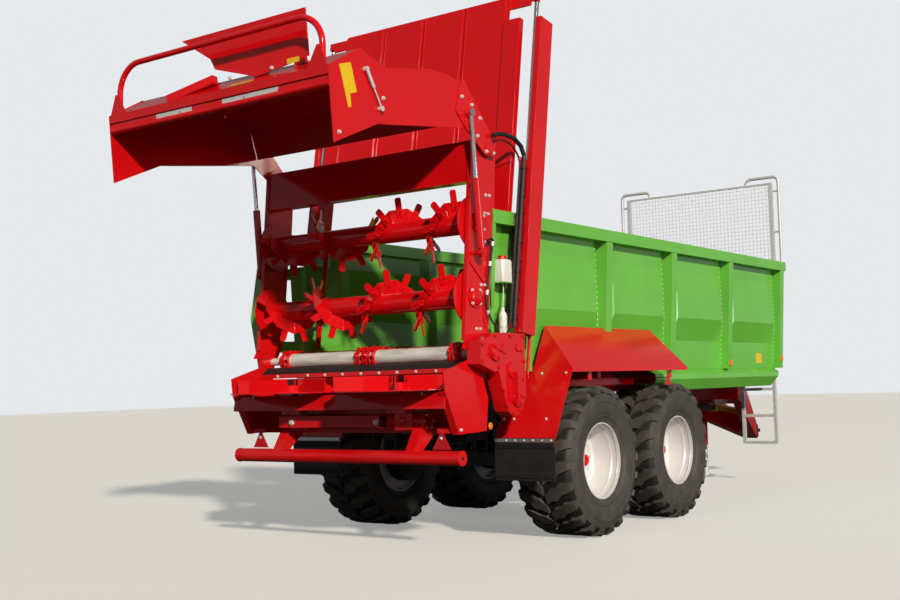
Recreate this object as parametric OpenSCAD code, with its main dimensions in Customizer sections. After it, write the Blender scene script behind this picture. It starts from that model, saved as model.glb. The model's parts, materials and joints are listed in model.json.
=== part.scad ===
// Tandem-axle manure spreader with two beaters, two spreading discs and a raised rear hood.
// Millimetres. +X is the driving direction, +Z is up, the origin lies on the ground
// under the middle of the whole machine.

/* [Load body] */
// Rear end of the side walls, measured from the middle of the tandem
wall_back_x = -1800; // [-1850:5:-1750]
// Front end of the side walls, measured from the middle of the tandem
wall_front_x = 3993; // [3900:5:4100]
// Top of the top rails
rail_top_z = 2448; // [2420:2:2480]
// Height of the top rail's section
rail_h = 98; // [80:2:120]
// Outer face of the top rails, from the middle
rail_out_y = 1008; // [1000:2:1020]
// Lower edge of the side walls
wall_foot_z = 1280; // [1250:5:1300]
// Outer face of the posts at the walls' lower edge
stake_foot_y = 940; // [930:1:960]
// Sheet thickness of the walls
wall_t = 8; // [5:1:12]
// Width of a post along the wall
stake_w = 100; // [70:5:130]
// Run of the slanted ends of the pressed fields
field_slant = 110; // [60:5:160]
// Upper face of the floor
floor_z = 1452; // [1430:2:1470]
// Floor plate thickness
floor_t = 6; // [4:1:10]
// Side clearance between the floor plate and the walls
floor_gap = 0.5; // [0:0.5:3]

/* [Wheels] */
// Outer radius of the tyres over the lugs
tyre_r = 580; // [560:5:600]
// Width of a tyre
tyre_w = 500; // [440:10:540]
// Radius of the rim flange
rim_r = 319; // [300:1:330]
// Width of a rim between its outer faces
rim_w = 430; // [400:5:450]
// Middle of a wheel from the middle of the machine
wheel_y = 994; // [980:2:1010]
// Half the distance between the two axles
axle_half = 680; // [660:5:700]
// Diameter of the stub axles
stub_d = 90; // [70:2:100]
// Radial running clearance of the plain shafts
shaft_gap = 0.05; // [0.02:0.01:0.1]

/* [Scraper floor] */
// Distance of the rear chain shaft behind the middle of the tandem
shaft_x = -2000; // [-2020:5:-1980]
// Height of the chain shafts
shaft_z = 1415; // [1405:1:1425]
// Diameter of the chain shaft's tube
shaft_tube_d = 112; // [90:2:120]
// Pitch radius of the sprockets
sprocket_r = 62; // [58:1:66]
// Thickness of a chain, across its run
chain_h = 22; // [16:1:26]
// Width of a chain
chain_w = 46; // [36:2:56]
// Spacing of the slats
slat_pitch = 380; // [320:10:480]

/* [Beaters] */
// Height of the lower beater's axis
beater_z = 1803; // [1790:1:1815]
// Distance of the lower beater's axis behind the middle of the tandem
beater_x = -2050; // [-2060:2:-2040]
// Distance between the two beaters' axes
beater_step = 535; // [530:1:540]
// Diameter of a beater tube
beater_d = 150; // [130:5:165]
// Radius over the tips of the teeth
finger_r = 255; // [240:1:258]
// Rise of the screw flights in one turn
flight_pitch = 500; // [460:5:510]
// Facets with a tooth on each half of a beater
blades = 14; // [10:1:14]
// Inner face of the beater frame's side plates
frame_in_y = 992; // [988:1:996]
// Thickness of the side plates
side_t = 8; // [6:1:10]
// Lean of the beater frame
frame_lean = 7.5; // [6:0.5:9]
// Diameter of the beater shafts
beater_shaft_d = 60; // [50:2:70]

/* [Spreading discs] */
// Radius of a spreading disc
disc_r = 470; // [450:5:480]
// Distance of a disc's axis from the middle
disc_y = 500; // [495:1:505]
// Place of the discs' axes along the machine
disc_x = -2300; // [-2310:2:-2290]
// Lower face of the discs
disc_z = 1165; // [1160:1:1172]
// Thickness of a disc
disc_t = 8; // [6:1:10]
// Height of the vanes
vane_h = 100; // [80:5:110]
// Vanes on each disc
vanes = 5; // [4:1:6]
// Diameter of the discs' shafts
disc_shaft_d = 50; // [40:2:60]

/* [Hood] */
// Place of the hood's hinge along the machine
hinge_x = -1860; // [-1870:2:-1850]
// Height of the hood's hinge
hinge_z = 2880; // [2870:2:2890]
// Angle between the closed and the raised hood
hood_travel = 72; // [60:1:74]
// Inner face of the hood's side plates
hood_in_y = 1020; // [1019:1:1026]
// Sheet thickness of the hood
hood_t = 8; // [5:1:8]
// Middle of the hood cylinders
cyl_y = 1068; // [1067:1:1074]
// Diameter of a hood cylinder's barrel
barrel_d = 56; // [50:2:64]
// Diameter of its rod
rod_d = 32; // [25:1:36]
// Diameter of the cylinders' pins
pin_d = 30; // [24:1:34]

/* [Slurry door] */
// Lean of the door and its guides
door_lean = 9.5; // [8:0.5:10.5]
// Height of the door
door_h = 1405; // [1405:5:1450]
// Half the width of the door
door_half_y = 828; // [800:2:840]
// Height of the raised door's lower edge
door_rest_z = 2805; // [2780:5:2840]
// Clearance of the closed door over the slats
door_floor_gap = 16; // [8:1:30]

/* [Drawbar] */
// Place of the hitch eye along the machine
eye_x = 5480; // [5400:10:5600]
// Height of the hitch eye
eye_z = 520; // [480:5:560]
// Bore of the hitch eye
eye_bore = 50; // [40:1:60]
// Thickness of the hitch eye
eye_t = 42; // [30:1:50]
// Place of the parking jack along the machine
jack_x = 4750; // [4650:10:4850]
// Distance of the jack from the middle
jack_y = 365; // [350:5:380]
// How far the jack's leg lifts
jack_lift = 360; // [200:10:400]

/* [Hidden] */
$fn = 48;

RED = "#d8202a";
GREEN = "#5cb345";
BLACK = "#1c1c1e";
ZINC = "#b9bcbc";
CHROME = "#dcdfe2";
SILVER = "#e2e4e6";
YELLOW = "#f0d21e";
eps = 1;

// Wall profile of the right half seen from behind: [y, z] of the outer face
wall_profile = [
    [925, rail_top_z - rail_h], [915, 2200], [940, 1990], [940, 1760], [875, 1550], [865, wall_foot_z]
];
// Front edges of the posts along each wall
stake_fronts = [wall_front_x, 2570, 1255, 10, -1230];
// Outline of the hood's side plate when raised, [x, z] from the hinge
hood_side = [
    [-270, 99], [-1120, -15], [-1250, -31], [-1666, -209], [-1704, 260], [-1407, 426],
    [-1165, 348], [-668, 437], [-489, 437], [-343, 409]
];
// Eye of the hood cylinder's rod and its lower pin, [x, z] from the hinge
rod_eye = [-270, 205];
barrel_pin = [-190, -770];
bow_x = -1665;
bow_low = 262;
bow_high = 607;
bow_d = 40;
// The origin lies midway between the raised hood's reach and the hitch eye's tip
eye_out_r = eye_bore / 2 + 32;
tail_x = hinge_x + min([for (p = hood_side) p[0]]);
mid_x = (eye_x + eye_out_r + tail_x) / 2;

// A function that gives the outer face of the wall at a height
function wall_y(z) = lookup(-z, [for (p = wall_profile) [-p[1], p[0]]]);
// Where the leaning beater frame stands at a height
function frame_x(z) = beater_x + (z - beater_z) * tan(frame_lean);
upper_z = beater_z + beater_step * cos(frame_lean);
upper_x = frame_x(upper_z);
// Rear face of the door guides at a height
door_ref_x = -1511;
door_ref_z = 2494;
function door_u(z) = (z - door_ref_z) / cos(door_lean);
slat_top = shaft_z + sprocket_r + chain_h / 2;
door_travel = (door_rest_z - slat_top - door_floor_gap) / cos(door_lean);
frame_out_y = frame_in_y + side_t;
post_y = 1050;
post_depth = 60;

module at_machine() {
    translate([-mid_x, 0, 0]) children();
}

module both_sides() {
    children();
    mirror([0, 1, 0]) children();
}

// A box between two corners
module block(a, b) {
    translate(a) cube(b - a);
}

// A plate with its outline in X and Z, from y0 towards +Y
module plate_xz(points, y0, t) {
    translate([0, y0 + t, 0]) rotate([90, 0, 0]) linear_extrude(t) polygon(points);
}

// A plate with its outline in Y and Z, from x0 towards +X
module plate_yz(points, x0, t) {
    translate([x0, 0, 0]) rotate([90, 0, 90]) linear_extrude(t) polygon(points);
}

// A plate with its outline in X and Y, from z0 upwards
module plate_xy(points, z0, t) {
    translate([0, 0, z0]) linear_extrude(t) polygon(points);
}

// A round bar between two points
module rod(a, b, d) {
    v = b - a;
    l = norm(v);
    translate(a)
        rotate([0, acos(v[2] / l), atan2(v[1], v[0])])
            cylinder(h = l, d = d);
}

// A round bar across the machine
module cross_rod(x, z, y0, y1, d) {
    translate([x, y0, z]) rotate([-90, 0, 0]) cylinder(h = y1 - y0, d = d);
}

// A hollow rectangular tube along X
module rail_tube(x0, x1, y0, y1, z0, z1, t) {
    difference() {
        block([x0, y0, z0], [x1, y1, z1]);
        block([x0 - eps, y0 + t, z0 + t], [x1 + eps, y1 - t, z1 - t]);
    }
}

// A strip of constant thickness along a line of points in a plane
function left_of(a, b, t) = let (d = b - a, l = norm(d)) [-d[1], d[0]] * t / l;
function strip(p, t) = let (n = len(p) - 1)
    concat(p, [for (i = [n:-1:0])
        let (a = p[max(i - 1, 0)], b = p[i], c = p[min(i + 1, n)],
             u = i > 0 ? left_of(a, b, 1) : left_of(b, c, 1),
             v = i < n ? left_of(b, c, 1) : left_of(a, b, 1))
        b + (u + v) * t / (1 + u * v)]);

// Tube swept along points, with rings of k sides
function unit(v) = v / norm(v);
function path_dir(p, i) = unit(p[min(i + 1, len(p) - 1)] - p[max(i - 1, 0)]);
module sweep(p, d, k) {
    ring = [for (i = [0:len(p) - 1]) let (
            t = path_dir(p, i), s = unit(cross(t, [0.13, 1, 0.21])), n = cross(s, t))
        for (j = [0:k - 1]) p[i] + (s * cos(360 * j / k) + n * sin(360 * j / k)) * d / 2];
    last = (len(p) - 1) * k;
    faces = concat(
        [[for (j = [0:k - 1]) k - 1 - j]],
        [for (i = [0:len(p) - 2], j = [0:k - 1])
            [i * k + j, i * k + (j + 1) % k, (i + 1) * k + (j + 1) % k, (i + 1) * k + j]],
        [[for (j = [0:k - 1]) last + j]]);
    polyhedron(ring, [for (f = faces) [for (q = [len(f) - 1:-1:0]) f[q]]]);
}

chassis_y = 400;
chassis_w = 100;
chassis_top = wall_foot_z;
chassis_bottom = 1090;
// Rear end of the frame rails, clear of the discs
chassis_back_x = disc_x + disc_r + 22;

module chassis() {
    color(RED) {
        both_sides() rail_tube(chassis_back_x, wall_front_x, chassis_y, chassis_y + chassis_w,
                               chassis_bottom, chassis_top, 10);
        for (x = [-1500, -300, 900, 2100, 3300])
            block([x, -chassis_y, chassis_bottom + 30], [x + 80, chassis_y, chassis_top - 20]);
        block([wall_front_x - 100, -chassis_y, chassis_bottom], [wall_front_x, chassis_y, chassis_top]);
        for (x = concat([for (s = stake_fronts) s - stake_w], [wall_back_x]))
            both_sides() block([x, chassis_y + chassis_w, chassis_top - 60],
                               [x + 60, wall_y(wall_foot_z) - 1, chassis_top]);
    }
}

drive_tunnel_d = 124;

module drawbar() {
    color(RED) intersection() {
        plate_xz([[wall_front_x, chassis_bottom - 150], [wall_front_x, chassis_top],
                  [wall_front_x + 90, chassis_top], [eye_x - 160, eye_z + 90], [eye_x - 160, eye_z - 90],
                  [wall_front_x + 500, chassis_bottom - 390]], -600, 1200);
        difference() {
            plate_xy([[wall_front_x, -chassis_y], [wall_front_x + 120, -chassis_y],
                      [eye_x - 160, -85], [eye_x - 160, 85],
                      [wall_front_x + 120, chassis_y], [wall_front_x, chassis_y]], 0, 2000);
            plate_xy([[wall_front_x + 110, 100 - chassis_y], [eye_x - 420, -50], [eye_x - 420, 50],
                      [wall_front_x + 110, chassis_y - 100]], -eps, 2100);
            rod([wall_front_x - 60, 0, 855.5], [4190, 0, 852], drive_tunnel_d);
            rod([4190, 0, 852], [5150, 0, 758.3], drive_tunnel_d);
        }
    }
    color(RED) difference() {
        block([jack_x - 60, 180, eye_z + 150], [jack_x + 60, jack_y, eye_z + 270]);
        translate([jack_x, jack_y, 0]) cylinder(h = 1500, r = jack_r + 0.2);
    }
    color(RED) block([5120, -30, 640], [5180, 30, 721]);
}

module hitch_eye() {
    color(BLACK) difference() {
        union() {
            translate([eye_x, 0, eye_z - eye_t / 2]) cylinder(h = eye_t, r = eye_out_r);
            block([eye_x - 110, -32, eye_z - eye_t / 2 + 2], [eye_x, 32, eye_z + eye_t / 2 - 2]);
            block([eye_x - 160, -80, eye_z - 80], [eye_x - 110, 80, eye_z + 80]);
        }
        translate([eye_x, 0, eye_z - eye_t]) cylinder(h = 2 * eye_t, d = eye_bore);
    }
}

hub_in_y = 800;

module axles() {
    color(BLACK) for (x = [-axle_half, axle_half]) {
        block([x - 55, -640, tyre_r - 55], [x + 55, 640, tyre_r + 55]);
        both_sides() {
            cross_rod(x, tyre_r, 640, 870, stub_d);
            cross_rod(x, tyre_r, 650, 780, 400);
        }
    }
}

spring_y = 450;
rocker_x = 120;
leaf_t = 14;
leaf_reach = 520;
// Upper faces of the springs: their middles lie on the axles' boxes
leaf_mid_z = tyre_r + 55 + 4 * leaf_t + 0.3;
leaf_end_z = leaf_mid_z + 9;
seat_z = leaf_end_z + 30;
hanger_x = leaf_reach - 10;

module leaf_spring(x) {
    for (i = [0:3]) {
        reach = leaf_reach - i * 115;
        plate_xz(strip([[x - reach, leaf_end_z - i * leaf_t], [x, leaf_mid_z - i * leaf_t],
                        [x + reach, leaf_end_z - i * leaf_t]], -leaf_t), spring_y - 45, 90);
    }
}

module springs() {
    color(BLACK) both_sides() {
        for (x = [-axle_half, axle_half]) leaf_spring(x);
        for (s = [-1, 1]) {
            end = s * (axle_half + hanger_x);
            difference() {
                plate_xz([[end + s * 60, chassis_bottom], [end - s * 80, chassis_bottom],
                          [end - s * 20, leaf_end_z - 30], [end + s * 40, leaf_end_z - 30]], spring_y - 60, 120);
                block([end - 60, spring_y - 45.3, leaf_end_z - 100], [end + 60, spring_y + 45.3, seat_z + 30]);
            }
        }
        plate_xz([[-150, chassis_bottom], [150, chassis_bottom], [70, seat_z + 60], [-70, seat_z + 60]],
                 spring_y - 50, 100);
        plate_xz([[-rocker_x - 100, leaf_end_z + 0.3], [rocker_x + 100, leaf_end_z + 0.3],
                  [rocker_x + 100, seat_z], [60, seat_z + 60], [-60, seat_z + 60], [-rocker_x - 100, seat_z]],
                 spring_y - 50, 100);
    }
}

module floor_panel() {
    half = stake_in_y - floor_gap;
    color(RED) {
        block([shaft_x + 110, -half, floor_z - floor_t], [wall_front_x - 120, half, floor_z]);
        both_sides() block([wall_back_x, half - 14, floor_z - floor_t - 40],
                           [wall_front_x - 120, half, floor_z - floor_t]);
        for (x = [-1500, -300, 900, 2100, 3300])
            block([x, -half, floor_z - floor_t - 24], [x + 60, half, floor_z - floor_t]);
    }
}

// Inner face of the wall at the posts, and the flats that carry them
stake_in_y = 860;
flat_y = stake_in_y + wall_t;

// Plan outline of the pressed fields: posts stand on the flats between them
function field_plan(depth) = concat(
    [[wall_back_x, 0], [wall_back_x, flat_y - depth]],
    [for (i = [len(stake_fronts) - 1:-1:0])
        let (a = i == len(stake_fronts) - 1 ? wall_back_x + 40 : stake_fronts[i + 1],
             b = stake_fronts[i] - stake_w)
        each [[a, flat_y - depth], [a + field_slant, 945 - depth],
              [b - field_slant, 945 - depth], [b, flat_y - depth]]],
    [[wall_front_x, flat_y - depth], [wall_front_x, 0]]);

module wall_body(depth) {
    intersection() {
        plate_yz(concat([for (p = wall_profile) [p[0] - depth, p[1]]],
                        [[0, wall_foot_z], [0, rail_top_z - rail_h]]),
                 wall_back_x, wall_front_x - wall_back_x);
        plate_xy(field_plan(depth), wall_foot_z, rail_top_z - wall_foot_z);
    }
}

module side_wall() {
    difference() {
        wall_body(0);
        wall_body(wall_t);
    }
    rail_tube(wall_back_x, wall_front_x, stake_in_y, rail_out_y, rail_top_z - rail_h, rail_top_z, 6);
    for (x = concat([for (s = stake_fronts) [s - stake_w, s]], [[wall_back_x, wall_back_x + 40]]))
        plate_yz([[stake_in_y, wall_foot_z], [stake_foot_y, wall_foot_z], [rail_out_y - 4, rail_top_z - rail_h],
                  [stake_in_y, rail_top_z - rail_h]], x[0], x[1] - x[0]);
}

// Flared plate beside the beater frame, on two arms from the wall's end
module end_shield() {
    difference() {
        plate_yz([[frame_out_y, 2440], [1105, 2440], [1240, 1765], [1150, 1320], [frame_out_y + side_t + 0.3, 1320],
                  [frame_out_y + side_t + 0.3, 1470.5], [frame_out_y, 1470.5]], shaft_x - 8, 6);
        cross_rod(beater_x, beater_z, frame_out_y - eps, frame_out_y + 14, 170);
        cross_rod(upper_x, upper_z, frame_out_y - eps, frame_out_y + 14, 170);
    }
    for (z = [1490, 2080])
        block([shaft_x - 2, frame_out_y, z], [wall_back_x, frame_out_y + 6, z + 90]);
    block([wall_back_x - 6, stake_in_y + 60, 2080], [wall_back_x, frame_out_y, 2170]);
    block([wall_back_x - 6, stake_in_y + 60, 1490], [wall_back_x, frame_out_y, 1580]);
}

// Room for the turning beaters in the walls' rear ends
module beater_room() {
    for (p = [[beater_x, beater_z], [upper_x, upper_z]])
        cross_rod(p[0], p[1], 700, frame_in_y - 24, 2 * finger_r + 24);
}

module side_wall_right() {
    color(GREEN) mirror([0, 1, 0]) {
        difference() {
            side_wall();
            beater_room();
        }
        block([-1752, stake_in_y, 1917], [-1626, 1052, 1925]);
        block([-1740, stake_in_y, 1552], [-1660, 1034, 1560]);
    }
}

module side_wall_left() {
    color(GREEN) {
        difference() {
            side_wall();
            beater_room();
        }
        end_shield();
    }
}

module front_wall() {
    half = wall_y(wall_foot_z) - wall_t - 0.5;
    color(GREEN) {
        block([wall_front_x - wall_t, -half, wall_foot_z], [wall_front_x, half, rail_top_z]);
        for (y = [-560, 0, 560])
            block([wall_front_x, y - 50, wall_foot_z], [wall_front_x + 50, y + 50, rail_top_z - rail_h]);
        block([wall_front_x, -rail_out_y, rail_top_z - rail_h], [wall_front_x + 50, rail_out_y, rail_top_z]);
    }
}

skirt_back_x = 820;
skirt_z = 1090;

module skirts() {
    color(GREEN) both_sides() difference() {
        intersection() {
            plate_yz(strip([[872, wall_foot_z - 0.3], [950, wall_foot_z - 40], [955, 1190], [900, skirt_z]], -5),
                     skirt_back_x, wall_front_x - skirt_back_x - 100);
            plate_xz([[skirt_back_x, wall_foot_z], [skirt_back_x, skirt_z - 20], [3700, skirt_z - 20],
                      [3880, wall_foot_z]], 800, 200);
        }
        cross_rod(axle_half, tyre_r, 700, 1300, 2 * tyre_r + 30);
    }
}

guard_half = 883;
guard_top = 3355;

module mesh_guard() {
    x = wall_front_x + 2;
    color(ZINC) {
        both_sides() block([x, guard_half - 20, rail_top_z], [x + 40, guard_half + 20, guard_top]);
        for (z = [rail_top_z, (rail_top_z + guard_top) / 2, guard_top - 40])
            block([x, -guard_half, z], [x + 40, guard_half, z + 40]);
        for (i = [1:7])
            block([x + 16, -guard_half + i * guard_half / 4 - 3, rail_top_z], [x + 22, -guard_half + i * guard_half / 4 + 3, guard_top]);
    }
}

module grab_hoops() {
    x = wall_front_x + 25;
    r = 60;
    top = 3420;
    color(ZINC) both_sides() {
        translate([x, 975, rail_top_z]) cylinder(h = top - r - rail_top_z, d = 34);
        translate([x, 975 - r, top - r]) rotate([90, 0, 90]) rotate_extrude(angle = 90) translate([r, 0]) circle(d = 34);
        cross_rod(x, top, 600 + r, 975 - r, 34);
        translate([x, 600 + r, top - r]) rotate([90, 0, 90]) rotate([0, 0, 90]) rotate_extrude(angle = 90) translate([r, 0]) circle(d = 34);
        translate([x, 600, guard_top]) cylinder(h = top - r - guard_top, d = 34);
    }
}

module ladder() {
    color(ZINC) {
        for (y = [-810, -440])
            block([wall_front_x + 45, y - 16, 440], [wall_front_x + 85, y + 16, 1240]);
        for (z = [450, 750, 1045])
            block([wall_front_x + 45, -800, z - 15], [wall_front_x + 85, -450, z + 15]);
        block([wall_front_x, -830, 1160], [wall_front_x + 45, -420, 1240]);
    }
}

front_shaft_x = 3860;
chain_rows = [-815, -50, 50, 815];

module scraper_chains() {
    color(RED) for (y = chain_rows) difference() {
        union() {
            block([shaft_x, y - chain_w / 2, shaft_z - sprocket_r - chain_h / 2],
                  [front_shaft_x, y + chain_w / 2, shaft_z + sprocket_r + chain_h / 2]);
            for (x = [shaft_x, front_shaft_x])
                cross_rod(x, shaft_z, y - chain_w / 2, y + chain_w / 2, 2 * sprocket_r + chain_h);
        }
        block([shaft_x, y - chain_w, shaft_z - sprocket_r + chain_h / 2],
              [front_shaft_x, y + chain_w, shaft_z + sprocket_r - chain_h / 2]);
        for (x = [shaft_x, front_shaft_x])
            cross_rod(x, shaft_z, y - chain_w, y + chain_w, 2 * sprocket_r - chain_h);
    }
    color(RED) for (x = [shaft_x + 250:slat_pitch:front_shaft_x - 60])
        both_sides() {
            block([x, 20, floor_z + 1], [x + 46, stake_in_y - 22, slat_top]);
            block([x, 20, 2 * shaft_z - slat_top], [x + 46, stake_in_y - 22, 2 * shaft_z - floor_z - 1]);
        }
}

module chain_shaft() {
    color(ZINC) cross_rod(shaft_x, shaft_z, -frame_out_y, frame_out_y, 60);
    color(ZINC) both_sides() cross_rod(shaft_x, shaft_z, 76, 788, shaft_tube_d);
    color(RED) for (y = chain_rows, s = [-1, 1])
        cross_rod(shaft_x, shaft_z, y + s * 16 - 4, y + s * 16 + 4, 2 * sprocket_r - chain_h - 0.6);
}

module chain_gearbox() {
    outline = [[-2165, 1490], [-2180, 1335], [-2000, 1275], [-1960, 1290], [-1850, 1000], [-1790, 960],
               [-1690, 975], [-1612, 1090], [-1608, 1550], [-1985, 1550]];
    color(RED) {
        plate_xz(outline, -1120, 48);
        intersection() {
            plate_xz(outline, -1072, 1072 - frame_out_y - side_t);
            block([-2200, -1072, 900], [-1668, -1000, 1600]);
        }
        cross_rod(shaft_x, shaft_z, -1140, -1120, 120);
        cross_rod(-1740, 1090, -1140, -1120, 120);
    }
}

module in_door_plane() {
    translate([door_ref_x, 0, door_ref_z]) rotate([0, door_lean, 0]) children();
}

guide_top = 3990;

module door_guides() {
    color(RED) both_sides() in_door_plane() {
        block([0, 835, door_u(rail_top_z + 10)], [6, 950, door_u(guide_top)]);
        block([0, 838, door_u(rail_top_z + 10)], [52, 844, door_u(guide_top)]);
        block([0, 944, door_u(rail_top_z + 10)], [52, 950, door_u(guide_top)]);
        block([0, 800, door_u(1520)], [6, 846, door_u(guide_top)]);
        block([6, 838, door_u(1520)], [52, 846, 0]);
        block([6, 846, door_u(rail_top_z - 78)], [52, stake_in_y - 0.3, door_u(rail_top_z - 18)]);
    }
}

module door_posts() {
    color(RED) both_sides() in_door_plane() {
        block([50, post_y + post_depth - 6, door_u(1570)], [220, post_y + post_depth, door_u(guide_top)]);
        block([50, post_y + 14, door_u(1570)], [56, post_y + post_depth, door_u(guide_top)]);
        block([214, rail_out_y, door_u(1570)], [220, post_y + post_depth, door_u(guide_top)]);
        block([-10, 1030, door_u(1600)], [40, 1036, door_u(2870)]);
        for (z = [1700, 2100, 2500, 2800]) {
            block([40, 1030, door_u(z)], [56, 1036, door_u(z) + 60]);
            block([50, 1030, door_u(z)], [56, post_y + post_depth, door_u(z) + 60]);
        }
    }
}

rod_local_x = 88;
rod_y = 1040;
door_rod_d = 34;
gland_z = 2820;

module door_barrels() {
    foot = door_u(gland_z) - door_travel - 85;
    color(RED) both_sides() in_door_plane() difference() {
        union() {
            translate([rod_local_x, rod_y, foot]) cylinder(h = door_u(gland_z) - foot, d = 50);
            for (z = [2360, 2600])
                block([rod_local_x - 14, rod_y, door_u(z)], [rod_local_x + 14, post_y + post_depth - 6, door_u(z) + 40]);
        }
        translate([rod_local_x, rod_y, foot + 20])
            cylinder(h = door_u(gland_z) - foot + 60, d = door_rod_d + 2 * shaft_gap);
    }
}

module door() {
    u0 = door_u(door_rest_z);
    color(RED) in_door_plane() {
        block([24, -door_half_y, u0], [30, door_half_y, u0 + door_h]);
        for (i = [-2:1])
            block([12, i * 410 + 20, u0 + 10], [24, i * 410 + 390, u0 + door_h - 10]);
        both_sides() {
            block([20, door_half_y, u0 + 10], [34, door_half_y + 5, u0 + door_h - 10]);
            block([30, door_half_y - 60, u0 + door_h - 90], [58, door_half_y, u0 + door_h]);
            block([58, door_half_y - 60, u0 + door_h - 90], [70, rod_y - 35, u0 + door_h]);
            block([58, rod_y - 35, u0 + door_h - 60], [70, rod_y + 17, u0 + door_h]);
            block([58, rod_y - 17, u0 + door_h - 60], [rod_local_x + 18, rod_y + 17, u0 + door_h - 20]);
        }
    }
}

module door_rods() {
    u1 = door_u(door_rest_z) + door_h - 60;
    color(CHROME) in_door_plane() both_sides()
        translate([rod_local_x, rod_y, door_u(gland_z) - 50])
            cylinder(h = u1 - door_u(gland_z) + 50, d = door_rod_d);
}

module beater_frame() {
    color(RED) both_sides() {
        difference() {
            plate_xz([[-2185, 1500], [frame_x(1560) - 140, 1440], [-1960, 1440], [-1893, 1556], [wall_back_x, 2360],
                      [wall_back_x, rail_top_z + 0.3], [-1772, rail_top_z + 0.3], [-1730, 2920], [-1960, 2960], [-2040, 2900], [-2085, 2413]], frame_in_y, side_t);
            for (p = [[beater_x, beater_z], [upper_x, upper_z]])
                cross_rod(p[0], p[1], frame_in_y - eps, frame_out_y + eps, beater_shaft_d + 2 * shaft_gap);
            cross_rod(shaft_x, shaft_z, frame_in_y - eps, frame_out_y + eps, 60 + 2 * shaft_gap);
        }
        difference() {
            for (p = [[beater_x, beater_z], [upper_x, upper_z]])
                cross_rod(p[0], p[1], frame_out_y, frame_out_y + 12, 150);
            for (p = [[beater_x, beater_z], [upper_x, upper_z]])
                cross_rod(p[0], p[1], frame_out_y - eps, frame_out_y + 60, beater_shaft_d + 2 * shaft_gap);
        }
        plate_xz(strip([[-2185, 1500], [-2085, 2413], [-2040, 2900]], -8), frame_in_y - 24, 24);
        cross_rod(cyl_foot[0], cyl_foot[1], frame_out_y, cyl_y + 24, pin_d);
        cross_rod(hinge_x, hinge_z, frame_out_y, hood_in_y + 2 * hood_t + 6, hinge_d);
    }
}

hinge_d = 50;

module cross_panel() {
    color(RED) {
        difference() {
            plate_xz([[-2057, 2620], [-2030, 2915], [-1925, 2930], [-1950, 2620]], -frame_in_y, 2 * frame_in_y);
            plate_xz([[-2048, 2628], [-2023, 2907], [-1934, 2920], [-1957, 2628]], -frame_in_y - eps, 2 * frame_in_y + 2);
        }
        cross_rod(hinge_x, hinge_z, -frame_in_y, frame_in_y, 70);
    }
}

// Each half of a beater carries a folded screw flight: one flat facet every eighth of a turn,
// with a tooth on each facet
tooth_w = 44;
flight_r = 165;
blade_t = 12;
facets_per_turn = 8;
facet_step = flight_pitch / facets_per_turn;
facet_half = 360 / facets_per_turn / 2;
root_r = beater_d / 2 - 12;
blade = [
    [-(root_r * tan(facet_half) - 3), root_r], [-(flight_r * tan(facet_half) - 4), flight_r],
    [-tooth_w / 2, flight_r], [-tooth_w / 2, finger_r - 2], [tooth_w / 2, finger_r - 2],
    [tooth_w / 2, flight_r], [flight_r * tan(facet_half) - 4, flight_r], [root_r * tan(facet_half) - 3, root_r]
];
facet_lean = atan(facet_step / (2 * flight_r * tan(facet_half)));

module beater(start) {
    half = frame_in_y - 32;
    color(RED) {
        rotate([90, 0, 0]) cylinder(h = 2 * half, d = beater_d, center = true);
        rotate([90, 0, 0]) cylinder(h = 2 * (frame_out_y + 12), d = beater_shaft_d, center = true);
        both_sides() for (i = [0:blades - 1])
            translate([0, -60 - i * facet_step, 0]) rotate([0, start - i * 2 * facet_half, 0])
                rotate([0, 0, facet_lean]) rotate([90, 0, 0])
                    translate([0, 0, -blade_t / 2]) linear_extrude(blade_t) polygon(blade);
        both_sides() translate([0, 8 - half, 0]) rotate([90, 0, 0]) cylinder(h = 8, r = end_disc_r);
    }
}

end_disc_r = 190;
// Angle of the first facet of each beater, from straight up towards the front
upper_start = -90;
lower_start = -150;

wing = [
    [-2150, 1370], [-2455, 1285], [-2440, 1150], [-2290, 860], [-1960, 870], [-1930, 1100],
    [-2010, 1290], [-1965, 1470], [-2175, 1470]
];
deck_z = 1148;
deck_t = 6;

module spreader_table() {
    color(RED) {
        both_sides() {
            difference() {
                plate_xz(wing, frame_out_y, side_t);
                plate_xz([[-2600, 1440], [-2600, 1600], [-1800, 1600], [-1800, 1440]], frame_out_y - eps, 0.5 + eps);
            }
            plate_xz([[-2440, 1150], [-2290, 860], [-2282, 864], [-2432, 1154]], frame_out_y - 50, 50);
            block([-2288, 820, 868], [-2282, frame_out_y, 900]);
            block([chassis_back_x - 8, chassis_y + 10, chassis_bottom - 150],
                  [chassis_back_x, chassis_y + chassis_w - 10, chassis_bottom + 60]);
        }
        difference() {
            plate_xz(strip([[-2040, deck_z], [-2420, deck_z], [-2440, 1040], [-2415, 1036]], 6),
                     -frame_out_y, 2 * frame_out_y);
            both_sides() translate([disc_x, disc_y, deck_z - 50]) cylinder(h = 100, d = 130);
        }
        block([-2048, -frame_out_y, 862], [-2040, frame_out_y, deck_z - deck_t]);
        block([-2105, -frame_out_y, 862], [-2048, frame_out_y, 905]);
        block([-2170, -frame_out_y, 1281], [-2162, frame_out_y, 1312]);
        both_sides() block([-2040, chassis_y + 10, chassis_bottom - 150],
                           [chassis_back_x, chassis_y + chassis_w - 10, chassis_bottom - 130]);
    }
}

module rubber_apron() {
    color(BLACK) plate_xz(strip([[-2060, 1366], [-2090, 1350], [-2161, 1290]], 6),
                          -frame_out_y + 0.3, 2 * frame_out_y - 0.6);
}

module disc_gearboxes() {
    color(RED) both_sides() {
        translate([disc_x, disc_y, 1010]) cylinder(h = deck_z - deck_t - 1010, d = 200);
        block([-2255, disc_y - 80, 890], [-2150, disc_y + 80, 1010]);
    }
    color(ZINC) both_sides() translate([disc_x, disc_y, 1100]) cylinder(h = 108, d = disc_shaft_d);
}

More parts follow.
